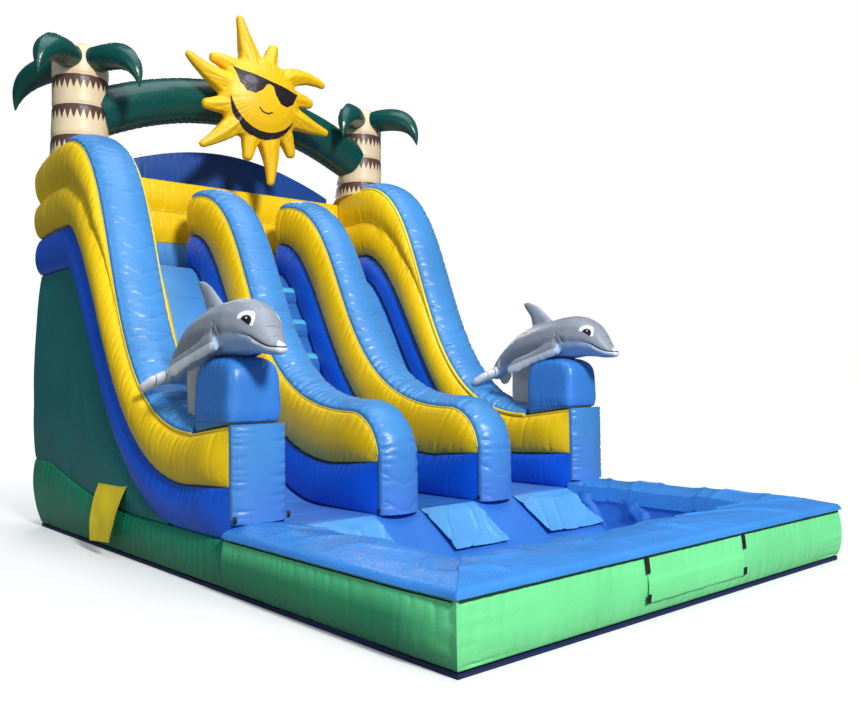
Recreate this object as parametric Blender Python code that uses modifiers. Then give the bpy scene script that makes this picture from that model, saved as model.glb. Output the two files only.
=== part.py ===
"""Inflatable double water slide with a climbing lane and a splash pool, in metres.

+X is to the right seen from the pool, +Y runs back to the tower and +Z is up. The origin is on the
ground in the middle of the footprint. Distances called "back" are measured from the pool's front wall.
"""

import math

import bmesh
import bpy
from mathutils import Matrix, Vector

# Overall sizes
WIDTH = 4.60
POOL_LENGTH = 2.63
TOWER_LENGTH = 4.57
RAIL_WIDTH = 0.50
DIVIDER_WIDTH = 0.435
CLIMB_WIDTH = 0.80

# Heights above the ground
GROUND_SHEET = 0.035
BASE_HEIGHT = 0.42
BASE_REAR_RISE = 0.36
BED_FOOT_DEPTH = 0.04
DECK_HEIGHT = 3.05
BLOCK_HEIGHT = 1.33
RAIL_LOW_HEIGHT = 1.235
HUMP_HEIGHT = 4.35
HUMP_REAR_DROP = 0.12
DIVIDER_LOW_HEIGHT = 1.37
DIVIDER_CREST = 3.90

# Slide line along the tower
DECK_LENGTH = 0.60
REAR_WALL = 0.30
REAR_BULGE = 0.25
BACK_ROOM = 0.07
TOE_RUN = 0.87
RAIL_TOE_RUN = 0.66
RAIL_CREST_SETBACK = 0.82
NOSE_RADIUS = 0.42
BED_DROP = 0.10
BASE_FLAT_RUN = 1.55
CORE_TIP = 0.02
SKIN = 0.02

# Air pressure bulges
CAP_CROWN = 0.090
CAP_EDGE = 0.012
SIDE_BULGE = 0.055
PANEL_BULGE = 0.045

# Shares of the height between a rail's top seam and its foot
BAND_SHARE = 0.535
HUMP_BAND_SHARE = 0.667
HUMP_LOBE_SHARE = 0.326
LOBE_TIP_SHARE = 0.03

# Climbing lane
STEP_COUNT = 7
STEP_LIFT = 0.075
STEP_INSET = 0.07
HANDLE_COUNT = 4
HANDLE_SPAN = 0.26
HANDLE_RISE = 0.13
HANDLE_RADIUS = 0.014

# Posts and dolphins on the front blocks
POST_HEIGHT = 0.545
POST_LENGTH = 0.66
POST_ROUND = 0.17
POST_TAPER = 0.14
DOLPHIN_BODY = 1.80
DOLPHIN_SCALE = 1.04
DOLPHIN_LIFT = 0.005
DOLPHIN_OVERHANG = 0.46
DOLPHIN_OUTSET = 0.03
DOLPHIN_SPLAY = 0.03
GUSSET_THICKNESS = 0.06
GUSSET_LENGTH = 0.46
GUSSET_SINK = 0.02

# Back of the platform
BACK_BLUE_HEIGHT = 0.38
BACK_YELLOW_HEIGHT = 0.395
BACK_PANEL_HEIGHT = 0.50
BACK_PANEL_END = 0.10
BACK_PANEL_THICKNESS = 0.15
PANEL_SIDE_GAP = 0.03
BACK_RIBS = 9
RIB_DEPTH = 0.045

# Palms, arch and sun
TRUNK_RADIUS = 0.31
TRUNK_FLARE = 0.02
TRUNK_REAR_FLARE = 0.18
TRUNK_HEIGHT = 1.40
TRUNK_INSET = 0.28
TRUNK_SETBACK = 0.46
TRUNK_LEAN = 0.03
FROND_RADIUS = 0.155
FROND_REACH = 0.66
FROND_DROP = 0.42
FROND_BELOW_TOP = 0.24
ARCH_RADIUS = 0.28
ARCH_RISE = 0.54
ARCH_APEX = 5.30
SUN_RADIUS = 0.58
SUN_THICKNESS = 0.50
SUN_LONG_RAY = 1.08
SUN_SHORT_RAY = 0.81
SUN_RAY_WIDTH = 0.150
SUN_SINK = 0.03
SUN_SHIFT = 0.06
SUN_HEIGHT = 5.25
SUN_RAYS = 12
SUN_LONG_TAPER = (1.08, 0.98, 0.78, 0.58, 0.43, 0.34, 0.15)
SUN_SHORT_TAPER = (1.08, 1.0, 0.86, 0.72, 0.59, 0.48, 0.2)
SUN_TIP_TURNS = (0, -2, -24, -8, 2, -10, -7, 2, -5, -3, -8, 13)

# Pool
POOL_WALL_HEIGHT = 0.49
POOL_WALL = 0.52
COVER_CLEARANCE = 0.007
POOL_CROWN = 0.035
SHEET = 0.008
COVER_LIP = 0.05
COVER_INNER_LIP = 0.10
LINER_DEPTH = 0.38
LINER_SLOPE = 0.55
FLAP_LENGTH = 0.58
FLAP_THICKNESS = 0.012
FLAP_SIDE_GAP = 0.06
FLAP_ANGLE = math.radians(56)
DRAIN_FLAP_WIDTH = 1.25
DRAIN_FLAP_HEIGHT = 0.19
DRAIN_FLAP_TOP = 0.31
DRAIN_FLAP_SHIFT = 0.05

# Inflation sleeve at the back
SLEEVE_RADIUS = 0.13
SLEEVE_LENGTH = 0.42
SLEEVE_HEIGHT = 0.30
SLEEVE_INSET = 1.10
SLEEVE_SINK = 0.03

# Clearance between pieces that touch
GAP = 0.0002

# Facets
SLOPE_STEPS = 14
FRONT_STEPS = 4
SIDE_STEPS = 4
CROWN_STEPS = 6

LENGTH = POOL_LENGTH + TOWER_LENGTH
HALF_WIDTH = WIDTH / 2
RAIL_INNER = HALF_WIDTH - RAIL_WIDTH
CLIMB_HALF = CLIMB_WIDTH / 2
DIVIDER_OUTER = CLIMB_HALF + DIVIDER_WIDTH
FRONT = POOL_LENGTH
REAR = LENGTH
LIP = REAR - REAR_WALL - DECK_LENGTH
TOE = FRONT + TOE_RUN
RAIL_TOE = FRONT + RAIL_TOE_RUN
RAIL_CREST = REAR - RAIL_CREST_SETBACK
NOSE_TOP = FRONT + NOSE_RADIUS
PANEL_FRONT = FRONT + CAP_EDGE
WALL_FACE = REAR - REAR_WALL
BACK_TOP = DECK_HEIGHT + BACK_BLUE_HEIGHT + 2 * BACK_YELLOW_HEIGHT
TRUNK_X = HALF_WIDTH - TRUNK_INSET
TRUNK_BACK = REAR - TRUNK_SETBACK
TRUNK_BASE = max(HUMP_HEIGHT - HUMP_REAR_DROP, BACK_TOP) + GAP
POST_BOTTOM = BLOCK_HEIGHT
FRONT_PANEL_FOOT = POOL_WALL_HEIGHT + POOL_CROWN + SHEET + COVER_CLEARANCE
POST_TOP = BLOCK_HEIGHT + POST_HEIGHT
RUNOUT_HEIGHT = BASE_HEIGHT + BED_FOOT_DEPTH
DOLPHIN_GIRTH = DOLPHIN_BODY * DOLPHIN_SCALE
FIN_SECTION = ((-0.5, 0.0), (-0.25, 1.0), (0.2, 1.0), (0.5, 0.0), (0.2, -1.0), (-0.25, -1.0))


# Scene set-up

def clear_scene():
    for obj in list(bpy.data.objects):
        bpy.data.objects.remove(obj, do_unlink=True)


def new_collection(name):
    collection = bpy.data.collections.new(name)
    bpy.context.scene.collection.children.link(collection)
    return collection


def principled(name, colour, roughness, metallic=0.0):
    material = bpy.data.materials.new(name)
    material.use_nodes = True
    shader = material.node_tree.nodes["Principled BSDF"]
    shader.inputs["Base Color"].default_value = (*colour, 1.0)
    shader.inputs["Roughness"].default_value = roughness
    shader.inputs["Metallic"].default_value = metallic
    return material


def vinyl(name, colour):
    return principled(name, colour, 0.35)


LIGHT_BLUE = (0.10, 0.32, 0.72)
DEEP_BLUE = (0.015, 0.12, 0.60)
NAVY = (0.01, 0.03, 0.20)
YELLOW = (0.95, 0.70, 0.0)
DARK_GREEN = (0.0, 0.12, 0.10)
LEAF_GREEN = (0.02, 0.35, 0.12)
POOL_GREEN = (0.20, 0.80, 0.32)
BEIGE = (0.80, 0.66, 0.47)
GREY = (0.30, 0.31, 0.33)
PALE = (0.78, 0.80, 0.82)


# Geometry helpers

def at(back, height):
    """Turns a distance from the pool's front and a height into world Y and Z."""
    return Vector((0.0, back - LENGTH / 2, height))


def smooth_step(value):
    value = min(1.0, max(0.0, value))
    return value * value * (3 - 2 * value)


def bezier(start, handle_a, handle_b, end, count):
    """Points of a cubic curve, from start to end, with count segments."""
    points = []
    for index in range(count + 1):
        t = index / count
        r = 1 - t
        points.append(
            start * r ** 3 + handle_a * (3 * r * r * t) + handle_b * (3 * r * t * t) + end * t ** 3
        )
    return points


def slide_curve(top, bottom, top_handle, bottom_handle):
    """S-shaped line from the top of the slope to its toe; handles are shares of the run."""
    run = top.y - bottom.y
    upper = Vector((0.0, top.y - run * top_handle, top.z))
    lower = Vector((0.0, bottom.y + run * bottom_handle, bottom.z))
    return bezier(top, upper, lower, bottom, SLOPE_STEPS)


def along(start, end, count):
    """Points from start to end without the start."""
    return [start.lerp(end, index / count) for index in range(1, count + 1)]


def link_mesh(name, mesh, material, collection):
    obj = bpy.data.objects.new(name, mesh)
    mesh.materials.clear()
    mesh.materials.append(material)
    collection.objects.link(obj)
    return obj


def shade(obj, degrees=40):
    obj.data.shade_smooth()
    obj.data.set_sharp_from_angle(angle=math.radians(degrees))
    return obj


def close_end(bm, row, as_strip):
    """Closes a ring with one face, or with quads between the points that lie across from each other."""
    if not as_strip:
        bm.faces.new(row)
        return
    last = len(row) - 1
    for index in range(len(row) // 2 - 1):
        bm.faces.new((row[index], row[index + 1], row[last - index - 1], row[last - index]))


def loft(name, rings, material, collection, as_strip=False):
    """Closed solid through rings of equal point counts, closed at both ends."""
    bm = bmesh.new()
    rows = [[bm.verts.new(point) for point in ring] for ring in rings]
    count = len(rows[0])
    for near, far in zip(rows, rows[1:]):
        for index in range(count):
            following = (index + 1) % count
            bm.faces.new((near[index], near[following], far[following], far[index]))
    close_end(bm, rows[0], as_strip)
    close_end(bm, rows[-1], as_strip)
    bmesh.ops.recalc_face_normals(bm, faces=bm.faces)
    mesh = bpy.data.meshes.new(name)
    bm.to_mesh(mesh)
    bm.free()
    return shade(link_mesh(name, mesh, material, collection))


def curve_object(name, points, radii, depth, resolution, material, collection):
    """Tube of changing radius along a poly line, as a curve with filled caps."""
    curve = bpy.data.curves.new(name, "CURVE")
    curve.dimensions = "3D"
    curve.bevel_depth = depth
    curve.bevel_resolution = resolution
    curve.use_fill_caps = True
    spline = curve.splines.new("POLY")
    spline.points.add(len(points) - 1)
    for spot, point, radius in zip(spline.points, points, radii):
        spot.co = (*point, 1.0)
        spot.radius = radius
    curve.materials.append(material)
    obj = bpy.data.objects.new(name, curve)
    collection.objects.link(obj)
    return obj


def as_mesh(obj, collection):
    """Replaces a curve by its welded mesh, so that it can be cut or joined."""
    depsgraph = bpy.context.evaluated_depsgraph_get()
    mesh = bpy.data.meshes.new_from_object(obj.evaluated_get(depsgraph))
    bm = bmesh.new()
    bm.from_mesh(mesh)
    bmesh.ops.remove_doubles(bm, verts=bm.verts, dist=0.00005)
    bmesh.ops.recalc_face_normals(bm, faces=bm.faces)
    bm.to_mesh(mesh)
    bm.free()
    name = obj.name
    placed = obj.matrix_world.copy()
    material = obj.data.materials[0]
    bpy.data.objects.remove(obj, do_unlink=True)
    result = link_mesh(name, mesh, material, collection)
    result.matrix_world = placed
    return shade(result)


def boolean(obj, cutter, operation):
    modifier = obj.modifiers.new(operation.lower(), "BOOLEAN")
    modifier.operation = operation
    modifier.solver = "EXACT"
    modifier.object = cutter


def hide_cutter(obj):
    obj.hide_render = True
    obj.display_type = "WIRE"
    return obj


def flat_outline(name, outline, thickness, material, collection, matrix):
    """Plate from a closed outline in its own XY plane, extruded both ways and then placed."""
    curve = bpy.data.curves.new(name, "CURVE")
    curve.dimensions = "2D"
    curve.fill_mode = "BOTH"
    curve.extrude = thickness / 2
    spline = curve.splines.new("POLY")
    spline.points.add(len(outline) - 1)
    for spot, (u, v) in zip(spline.points, outline):
        spot.co = (u, v, 0.0, 1.0)
    spline.use_cyclic_u = True
    curve.materials.append(material)
    obj = bpy.data.objects.new(name, curve)
    collection.objects.link(obj)
    obj.matrix_world = matrix
    bpy.context.view_layer.update()
    return as_mesh(obj, collection)


def side_plane(x):
    """Matrix that puts an outline of (back, height) upright in the plane of the given X."""
    turn = Matrix(((0, 0, 1, 0), (1, 0, 0, 0), (0, 1, 0, 0), (0, 0, 0, 1)))
    return Matrix.Translation((x, -LENGTH / 2, 0.0)) @ turn


def front_plane(back):
    """Matrix that puts an outline of (x, height) upright at a distance from the pool's front."""
    turn = Matrix(((1, 0, 0, 0), (0, 0, -1, 0), (0, 1, 0, 0), (0, 0, 0, 1)))
    return Matrix.Translation((0.0, back - LENGTH / 2, 0.0)) @ turn


# Lines that the tower is built on, from the rear to the front, with matching stations

def bed_line():
    """Top of the slide beds: the deck, the steep drop, and the flat run-out."""
    lip = at(LIP, DECK_HEIGHT)
    toe = at(TOE, RUNOUT_HEIGHT)
    line = [at(REAR, DECK_HEIGHT), at(WALL_FACE - BACK_ROOM, DECK_HEIGHT)]
    line += slide_curve(lip, toe, 0.20, 0.60)
    line += along(toe, at(PANEL_FRONT, RUNOUT_HEIGHT), FRONT_STEPS)
    return line


def foot_line():
    """Underside of the beds and foot of the outer rails, a little below the bed line."""
    line = []
    toe_drop = RUNOUT_HEIGHT - BASE_HEIGHT - GAP
    for point in bed_line():
        share = (point.z - RUNOUT_HEIGHT) / (DECK_HEIGHT - RUNOUT_HEIGHT)
        drop = toe_drop + (BED_DROP - toe_drop) * share
        line.append(Vector((0.0, point.y, point.z - drop)))
    return line


def base_top(y):
    """Height of the base mattress, which sweeps up towards the rear."""
    start = at(FRONT + BASE_FLAT_RUN, 0).y
    end = at(WALL_FACE, 0).y
    share = min(1.0, max(0.0, (y - start) / (end - start)))
    return BASE_HEIGHT + BASE_REAR_RISE * share * share


def rail_top_line():
    """Top seam of an outer rail: the hump, the S-shaped slope and the front block."""
    crest = at(RAIL_CREST, HUMP_HEIGHT)
    toe = at(RAIL_TOE, RAIL_LOW_HEIGHT)
    rear = at(REAR, HUMP_HEIGHT - HUMP_REAR_DROP)
    line = [rear, at(WALL_FACE - BACK_ROOM, HUMP_HEIGHT - HUMP_REAR_DROP / 6)]
    line += slide_curve(crest, toe, 0.50, 0.70)
    line += along(toe, at(PANEL_FRONT, BLOCK_HEIGHT - CAP_EDGE), FRONT_STEPS)
    return line


def divider_top_line():
    """Top seam of a divider, from its upright rear end to the bottom of its rounded nose."""
    crest = at(LIP, DIVIDER_CREST)
    toe = at(NOSE_TOP, DIVIDER_LOW_HEIGHT)
    line = slide_curve(crest, toe, 0.50, 0.70)
    centre = at(NOSE_TOP, DIVIDER_LOW_HEIGHT - NOSE_RADIUS)
    for index in range(1, FRONT_STEPS + 1):
        angle = math.radians(90) * index / FRONT_STEPS
        line.append(centre + Vector((0.0, -math.sin(angle), math.cos(angle))) * NOSE_RADIUS)
    return line


def share_between(upper, lower, shares):
    return [u.lerp(v, share) for u, v, share in zip(upper, lower, shares)]


def hump_share(low, high):
    """Share per station that grows from low on the slope to high at the hump."""
    shares = [high, high]
    for index in range(SLOPE_STEPS + 1):
        shares.append(low + (high - low) * smooth_step((0.62 - index / SLOPE_STEPS) / 0.55))
    shares += [low] * FRONT_STEPS
    return shares


def divider_band_line(top, bed):
    """Lower seam of a divider's yellow band, which runs out in a point on the nose."""
    line = share_between(top, bed, [BAND_SHARE] * (SLOPE_STEPS + 1))
    tip = at(PANEL_FRONT + 0.004, DIVIDER_LOW_HEIGHT - NOSE_RADIUS - 0.015)
    line += along(line[-1], tip, FRONT_STEPS)
    return line


def inset(line, distance, direction):
    return [point + direction * distance for point in line]


def line_normals(line):
    """Unit normals of a line in the YZ plane, pointing up or forward."""
    normals = []
    for index in range(len(line)):
        before = line[max(0, index - 1)]
        after = line[min(len(line) - 1, index + 1)]
        run = after - before
        normals.append(Vector((0.0, run.z, -run.y)).normalized())
    return normals


# Chambers between two lines

def side_points(upper, lower, x, bulge, span=1.0, steps=SIDE_STEPS):
    """Points down one side that bulge between the seams, or down to span where the rest is hidden."""
    count = steps if span >= 1.0 else steps - 1
    points = []
    for index in range(count + 1):
        t = index / count
        point = upper.lerp(lower, t * span)
        point.x = x + bulge * math.sin(math.pi * t)
        points.append(point)
    if span < 1.0:
        foot = lower.copy()
        foot.x = x
        points.append(foot)
    return points


def chamber(name, upper, lower, x_low, x_high, bulge, material, collection,
            crease=None, spans=None, swells=None, rear=False):
    """Air chamber between an upper and a lower line, with bulged sides and an optional crease.

    spans holds how far down each side bulges at each station, and swells how much of the bulge it has.
    """
    upper = inset(upper, GAP, Vector((0, 0, -1)))
    lower = inset(lower, GAP, Vector((0, 0, 1)))
    steps = SIDE_STEPS if bulge else 1
    rings = []
    for index, (top, bottom) in enumerate(zip(upper, lower)):
        sides = []
        for way, x in ((0, x_low), (1, x_high)):
            span = spans[index][way] if spans else 1.0
            swell = bulge * (swells[index][way] if swells else 1.0) * (2 * way - 1)
            if crease:
                points = side_points(top, crease[index], x, swell)
                points += side_points(crease[index], bottom, x, swell)[1:]
            else:
                points = side_points(top, bottom, x, swell, span, steps)
            sides.append(points)
        if rear and index == 0:
            for point in sides[0] + sides[1]:
                point.y += rear_swell(point.z)
        rings.append(sides[0] + list(reversed(sides[1])))
    return loft(name, rings, material, collection, as_strip=True)


def rear_swell(height):
    """How far the rear of the tower bulges at a height: most where the base meets the wall."""
    seam = BASE_HEIGHT + BASE_REAR_RISE
    if height < seam:
        return REAR_BULGE * math.sin(math.pi / 2 * height / seam)
    share = min(1.0, (height - seam) / (DECK_HEIGHT - seam))
    return REAR_BULGE * math.cos(math.pi / 2 * share)


def front_fade(count, fade):
    """Share of the bulge per station, which fades out over the last stations."""
    return [1.0] * (count - len(fade)) + list(fade)


def air_space(obj, upper, lower, x_low, x_high, bulge, roof, cutters, swells=None, rear=False):
    """Hollows a chamber out to its skin, open below, where the piece that it is sewn to closes it.

    roof is the skin's thickness measured straight down, which is more than SKIN under a steep slope.
    """
    back = upper[0].y - SKIN
    front = upper[-1].y + SKIN
    places = [back] + [point.y for point in upper if front < point.y < back] + [front]
    top = []
    bottom = []
    for y in places:
        high = line_point_at(upper, y).z - roof
        low = line_point_at(lower, y).z
        if high - low > SKIN:
            top.append(Vector((0.0, y, high)))
            bottom.append(Vector((0.0, y, low - SKIN)))
    inner = chamber(f"{obj.name}_air", top, bottom, x_low + SKIN, x_high - SKIN, bulge, obj.data.materials[0],
                    cutters, swells=swells[:1] * len(top) if swells else None, rear=rear)
    boolean(obj, hide_cutter(inner), "DIFFERENCE")


def cap(name, line, x_low, x_high, crown, material, collection, upright_end=False):
    """Crowned strip on a line: thin at its seams and full in the middle."""
    rings = []
    normals = line_normals(line)
    if upright_end:
        normals[-1] = Vector((0.0, 0.0, 1.0))
    for point, normal in zip(line, normals):
        ring = []
        for index in range(CROWN_STEPS + 1):
            t = index / CROWN_STEPS
            lift = CAP_EDGE + crown * math.sin(math.pi * t) ** 0.8
            spot = point + normal * lift
            spot.x = x_low + (x_high - x_low) * t
            ring.append(spot)
        for x in (x_high, x_low):
            foot = point + normal * GAP
            foot.x = x
            ring.append(foot)
        rings.append(ring)
    return loft(name, rings, material, collection)


# Tower pieces

def ground_sheet(collection):
    """Navy bottom sheet under the whole footprint."""
    bpy.ops.mesh.primitive_cube_add(size=1.0, location=(0.0, 0.0, GROUND_SHEET / 2))
    obj = bpy.context.object
    obj.name = "ground_sheet"
    obj.scale = (WIDTH + 2 * PANEL_BULGE, LENGTH + 2 * PANEL_BULGE, GROUND_SHEET)
    bpy.ops.object.transform_apply(location=True, rotation=False, scale=True)
    obj.data.materials.append(principled("ground_sheet", NAVY, 0.5))
    for owner in list(obj.users_collection):
        owner.objects.unlink(obj)
    collection.objects.link(obj)


def base_mattress(collection, cutters):
    """Low chamber under the whole tower, whose floor is the ground sheet, and the seat on its outside."""
    upper = [Vector((0.0, point.y, base_top(point.y))) for point in foot_line()]
    lower = [Vector((0.0, point.y, GROUND_SHEET)) for point in upper]
    base = chamber("base_mattress", upper, lower, -HALF_WIDTH, HALF_WIDTH, PANEL_BULGE,
                   vinyl("base_mattress", LEAF_GREEN), collection, rear=True)
    seat = seat_cut("base_seat", base, GAP * 1.5, cutters)
    air_space(base, upper, lower, -HALF_WIDTH, HALF_WIDTH, PANEL_BULGE, SKIN, cutters, rear=True)
    return seat


def tower_chamber(name, x_low, x_high, rear, swell, colour, collection, cutters):
    """Chamber between the base mattress and the foot line, behind the toe of the slope."""
    line = foot_line()
    end = at(rear, line[0].z)
    upper = [end] + [point for point in line if point.y < end.y and point.z - base_top(point.y) > CORE_TIP]
    lower = [Vector((0.0, point.y, base_top(point.y))) for point in upper]
    bulge = PANEL_BULGE if any(swell) else 0.0
    swells = [swell] * len(upper)
    full_rear = rear > WALL_FACE
    body = chamber(name, upper, lower, x_low, x_high, bulge, vinyl(name, colour), collection,
                   swells=swells, rear=full_rear)
    air_space(body, upper, lower, x_low, x_high, bulge, 2 * SKIN, cutters, swells=swells, rear=full_rear)


def rear_wall(collection, cutters):
    """Upright back panel between the side walls, drawn in by vertical baffles."""
    half = RAIL_INNER - GAP
    inner = at(WALL_FACE + GAP, 0).y
    outer = at(REAR, 0).y
    bottom = BASE_HEIGHT + BASE_REAR_RISE + GAP
    top = DECK_HEIGHT - GAP
    steps = 3
    rings = []
    air = []
    for level in range(SIDE_STEPS + 1):
        share = level / SIDE_STEPS
        height = bottom + (top - bottom) * share
        hollow = bottom - SKIN + (top - bottom) * share
        air.append(box_ring(half - SKIN, inner + SKIN, outer - RIB_DEPTH - SKIN + rear_swell(height), hollow))
        ring = [Vector((half, inner, height)), Vector((-half, inner, height))]
        for index in range(BACK_RIBS * steps + 1):
            share = index / (BACK_RIBS * steps)
            draw = RIB_DEPTH * (1 - abs(math.sin(math.pi * share * BACK_RIBS)))
            ring.append(Vector((-half + 2 * half * share, outer - draw + rear_swell(height), height)))
        rings.append(ring)
    wall = loft("rear_wall", rings, vinyl("rear_wall", DEEP_BLUE), collection)
    inner_wall = loft("rear_wall_air", air, wall.data.materials[0], cutters)
    boolean(wall, hide_cutter(inner_wall), "DIFFERENCE")


def box_ring(half, near, far, height):
    """Level rectangle from near to far, as wide as twice half."""
    corners = ((half, near), (-half, near), (-half, far), (half, far))
    return [Vector((x, y, height)) for x, y in corners]


def slide_bed(name, x_low, x_high, collection):
    upper = bed_line()[2:]
    lower = foot_line()[2:]
    chamber(name, upper, lower, x_low, x_high, 0.0, vinyl(name, LIGHT_BLUE), collection)


def line_at(line, distance):
    """Point at a distance along a line, its index and its share of that segment."""
    for index, (start, end) in enumerate(zip(line, line[1:])):
        length = (end - start).length
        if distance <= length or index == len(line) - 2:
            return start.lerp(end, distance / length), index, distance / length
        distance -= length


def line_length(line):
    return sum((end - start).length for start, end in zip(line, line[1:]))


def step_line():
    """Stations of the climbing lane, as bed point, foot point and lift, with the steps between."""
    bed = bed_line()[2:]
    foot = foot_line()[2:]
    slope_length = line_length(bed[:SLOPE_STEPS + 1])
    pitch = slope_length / (STEP_COUNT + 1)
    shares = (0.25, 0.36, 0.5, 0.64, 0.75)
    lifts = (0.0, 0.75, 1.0, 0.75, 0.0)
    distances = []
    for step in range(STEP_COUNT):
        for share, lift in zip(shares, lifts):
            distances.append((pitch * (step + 0.5 + share), lift * STEP_LIFT))
    travelled = 0.0
    corners = [(0.0, 0.0)]
    for start, end in zip(bed, bed[1:]):
        travelled += (end - start).length
        corners.append((travelled, None))
    stations = []
    for distance, lift in sorted(distances + corners, key=lambda entry: entry[0]):
        if stations and distance - stations[-1][0] < 0.002:
            stations[-1][1] = lift if stations[-1][1] is None else stations[-1][1]
            continue
        stations.append([distance, lift])
    for station in stations:
        if station[1] is None:
            station[1] = step_lift(station[0], pitch, shares, lifts)
    points = []
    for distance, lift in stations:
        point, index, share = line_at(bed, distance)
        points.append((point, foot[index].lerp(foot[index + 1], share), lift))
    return points, pitch


def step_lift(distance, pitch, shares, lifts):
    """Lift of the step at a distance that isn't one of the step's own stations."""
    step = math.floor(distance / pitch - 0.5)
    share = distance / pitch - 0.5 - step
    if step < 0 or step >= STEP_COUNT:
        return 0.0
    for low, high, a, b in zip(shares, shares[1:], lifts, lifts[1:]):
        if low <= share <= high:
            return STEP_LIFT * (a + (b - a) * (share - low) / (high - low))
    return 0.0


def climb_ramp(collection):
    """Climbing lane: the same slope as the beds with inflated steps across it."""
    points, _ = step_line()
    normals = line_normals([entry[0] for entry in points])
    x_edge = CLIMB_HALF - GAP
    x_step = CLIMB_HALF - STEP_INSET
    rings = []
    for (bed, foot, lift), normal in zip(points, normals):
        top = bed - Vector((0, 0, GAP))
        raised = top + normal * lift
        low = foot + Vector((0, 0, GAP))
        ring = []
        for x, spot in ((-x_edge, low), (-x_edge, top), (-x_step, raised),
                        (x_step, raised), (x_edge, top), (x_edge, low)):
            ring.append(Vector((x, spot.y, spot.z)))
        rings.append(ring)
    loft("climb_ramp", rings, vinyl("climb_ramp", LIGHT_BLUE), collection)


def climb_handles(collection):
    """Webbing loops that stand on every other step."""
    points, pitch = step_line()
    bed = bed_line()[2:]
    for number in range(HANDLE_COUNT):
        step = 1 + number * (STEP_COUNT - 1) // HANDLE_COUNT
        spot, index, _ = line_at(bed, pitch * (step + 1.0))
        run = (bed[index + 1] - bed[index]).normalized()
        normal = Vector((0.0, run.z, -run.y))
        foot = spot + normal * (STEP_LIFT + GAP)
        half = Vector((HANDLE_SPAN / 2, 0.0, 0.0))
        path = [foot - half]
        count = 10
        for turn in range(count + 1):
            angle = math.pi * turn / count
            rise = HANDLE_RISE * (0.2 + 0.8 * math.sin(angle) ** 0.8)
            path.append(foot + normal * rise - half * math.cos(angle))
        path.append(foot + half)
        name = f"climb_handle_{number + 1}"
        curve_object(name, path, [1.0] * len(path), HANDLE_RADIUS, 1,
                     principled(name, PALE, 0.8), collection)


def platform_deck(collection):
    half = RAIL_INNER - GAP
    low = DECK_HEIGHT - BED_DROP + GAP
    high = DECK_HEIGHT - GAP
    bpy.ops.mesh.primitive_cube_add(size=1.0)
    obj = bpy.context.object
    obj.name = "platform_deck"
    depth = DECK_LENGTH - 2 * GAP
    obj.scale = (2 * half, depth, high - low)
    obj.location = at(LIP + GAP + depth / 2, (low + high) / 2)
    bpy.ops.object.transform_apply(location=True, rotation=False, scale=True)
    obj.data.materials.append(vinyl("platform_deck", DEEP_BLUE))
    for owner in list(obj.users_collection):
        owner.objects.unlink(obj)
    collection.objects.link(obj)


def lobe_outline(heights, front, back, swell):
    """Side outline of stacked tubes that swell towards the front."""
    outline = [(back, heights[0]), (back, heights[-1])]
    for top, bottom in zip(reversed(heights[1:]), reversed(heights[:-1])):
        for index in range(6):
            t = index / 6
            outline.append((front - swell * math.sin(math.pi * t), top + (bottom - top) * t))
    outline.append((front, heights[0]))
    return outline


def back_wall(collection):
    """Wall behind the platform: a blue tube with two yellow ones on it."""
    blue_top = DECK_HEIGHT + BACK_BLUE_HEIGHT
    middle = blue_top + BACK_YELLOW_HEIGHT
    width = 2 * (RAIL_INNER - GAP)
    blue = lobe_outline([DECK_HEIGHT + GAP, blue_top - GAP], WALL_FACE, REAR - GAP, PANEL_BULGE)
    flat_outline("back_wall_blue", blue, width, vinyl("back_wall_blue", LIGHT_BLUE), collection,
                 side_plane(0.0))
    yellow = lobe_outline([blue_top + GAP, middle, BACK_TOP - GAP], WALL_FACE, REAR - GAP, PANEL_BULGE)
    flat_outline("back_wall_yellow", yellow, width, vinyl("back_wall_yellow", YELLOW), collection,
                 side_plane(0.0))


def back_panel(collection):
    """Arched panel that closes the gap under the palm arch."""
    half = TRUNK_X - TRUNK_RADIUS - TRUNK_FLARE - PANEL_SIDE_GAP
    bottom = BACK_TOP + GAP
    outline = [(-half, bottom), (half, bottom)]
    count = 16
    for index in range(count + 1):
        share = 1 - 2 * index / count
        rise = BACK_PANEL_END + (BACK_PANEL_HEIGHT - BACK_PANEL_END) * math.cos(share * math.pi / 2) ** 0.9
        outline.append((half * share, bottom + rise))
    flat_outline("back_panel", outline, BACK_PANEL_THICKNESS, vinyl("back_panel", NAVY), collection,
                 front_plane(REAR - BACK_PANEL_THICKNESS / 2 - GAP))


# Rails and dividers

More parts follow.
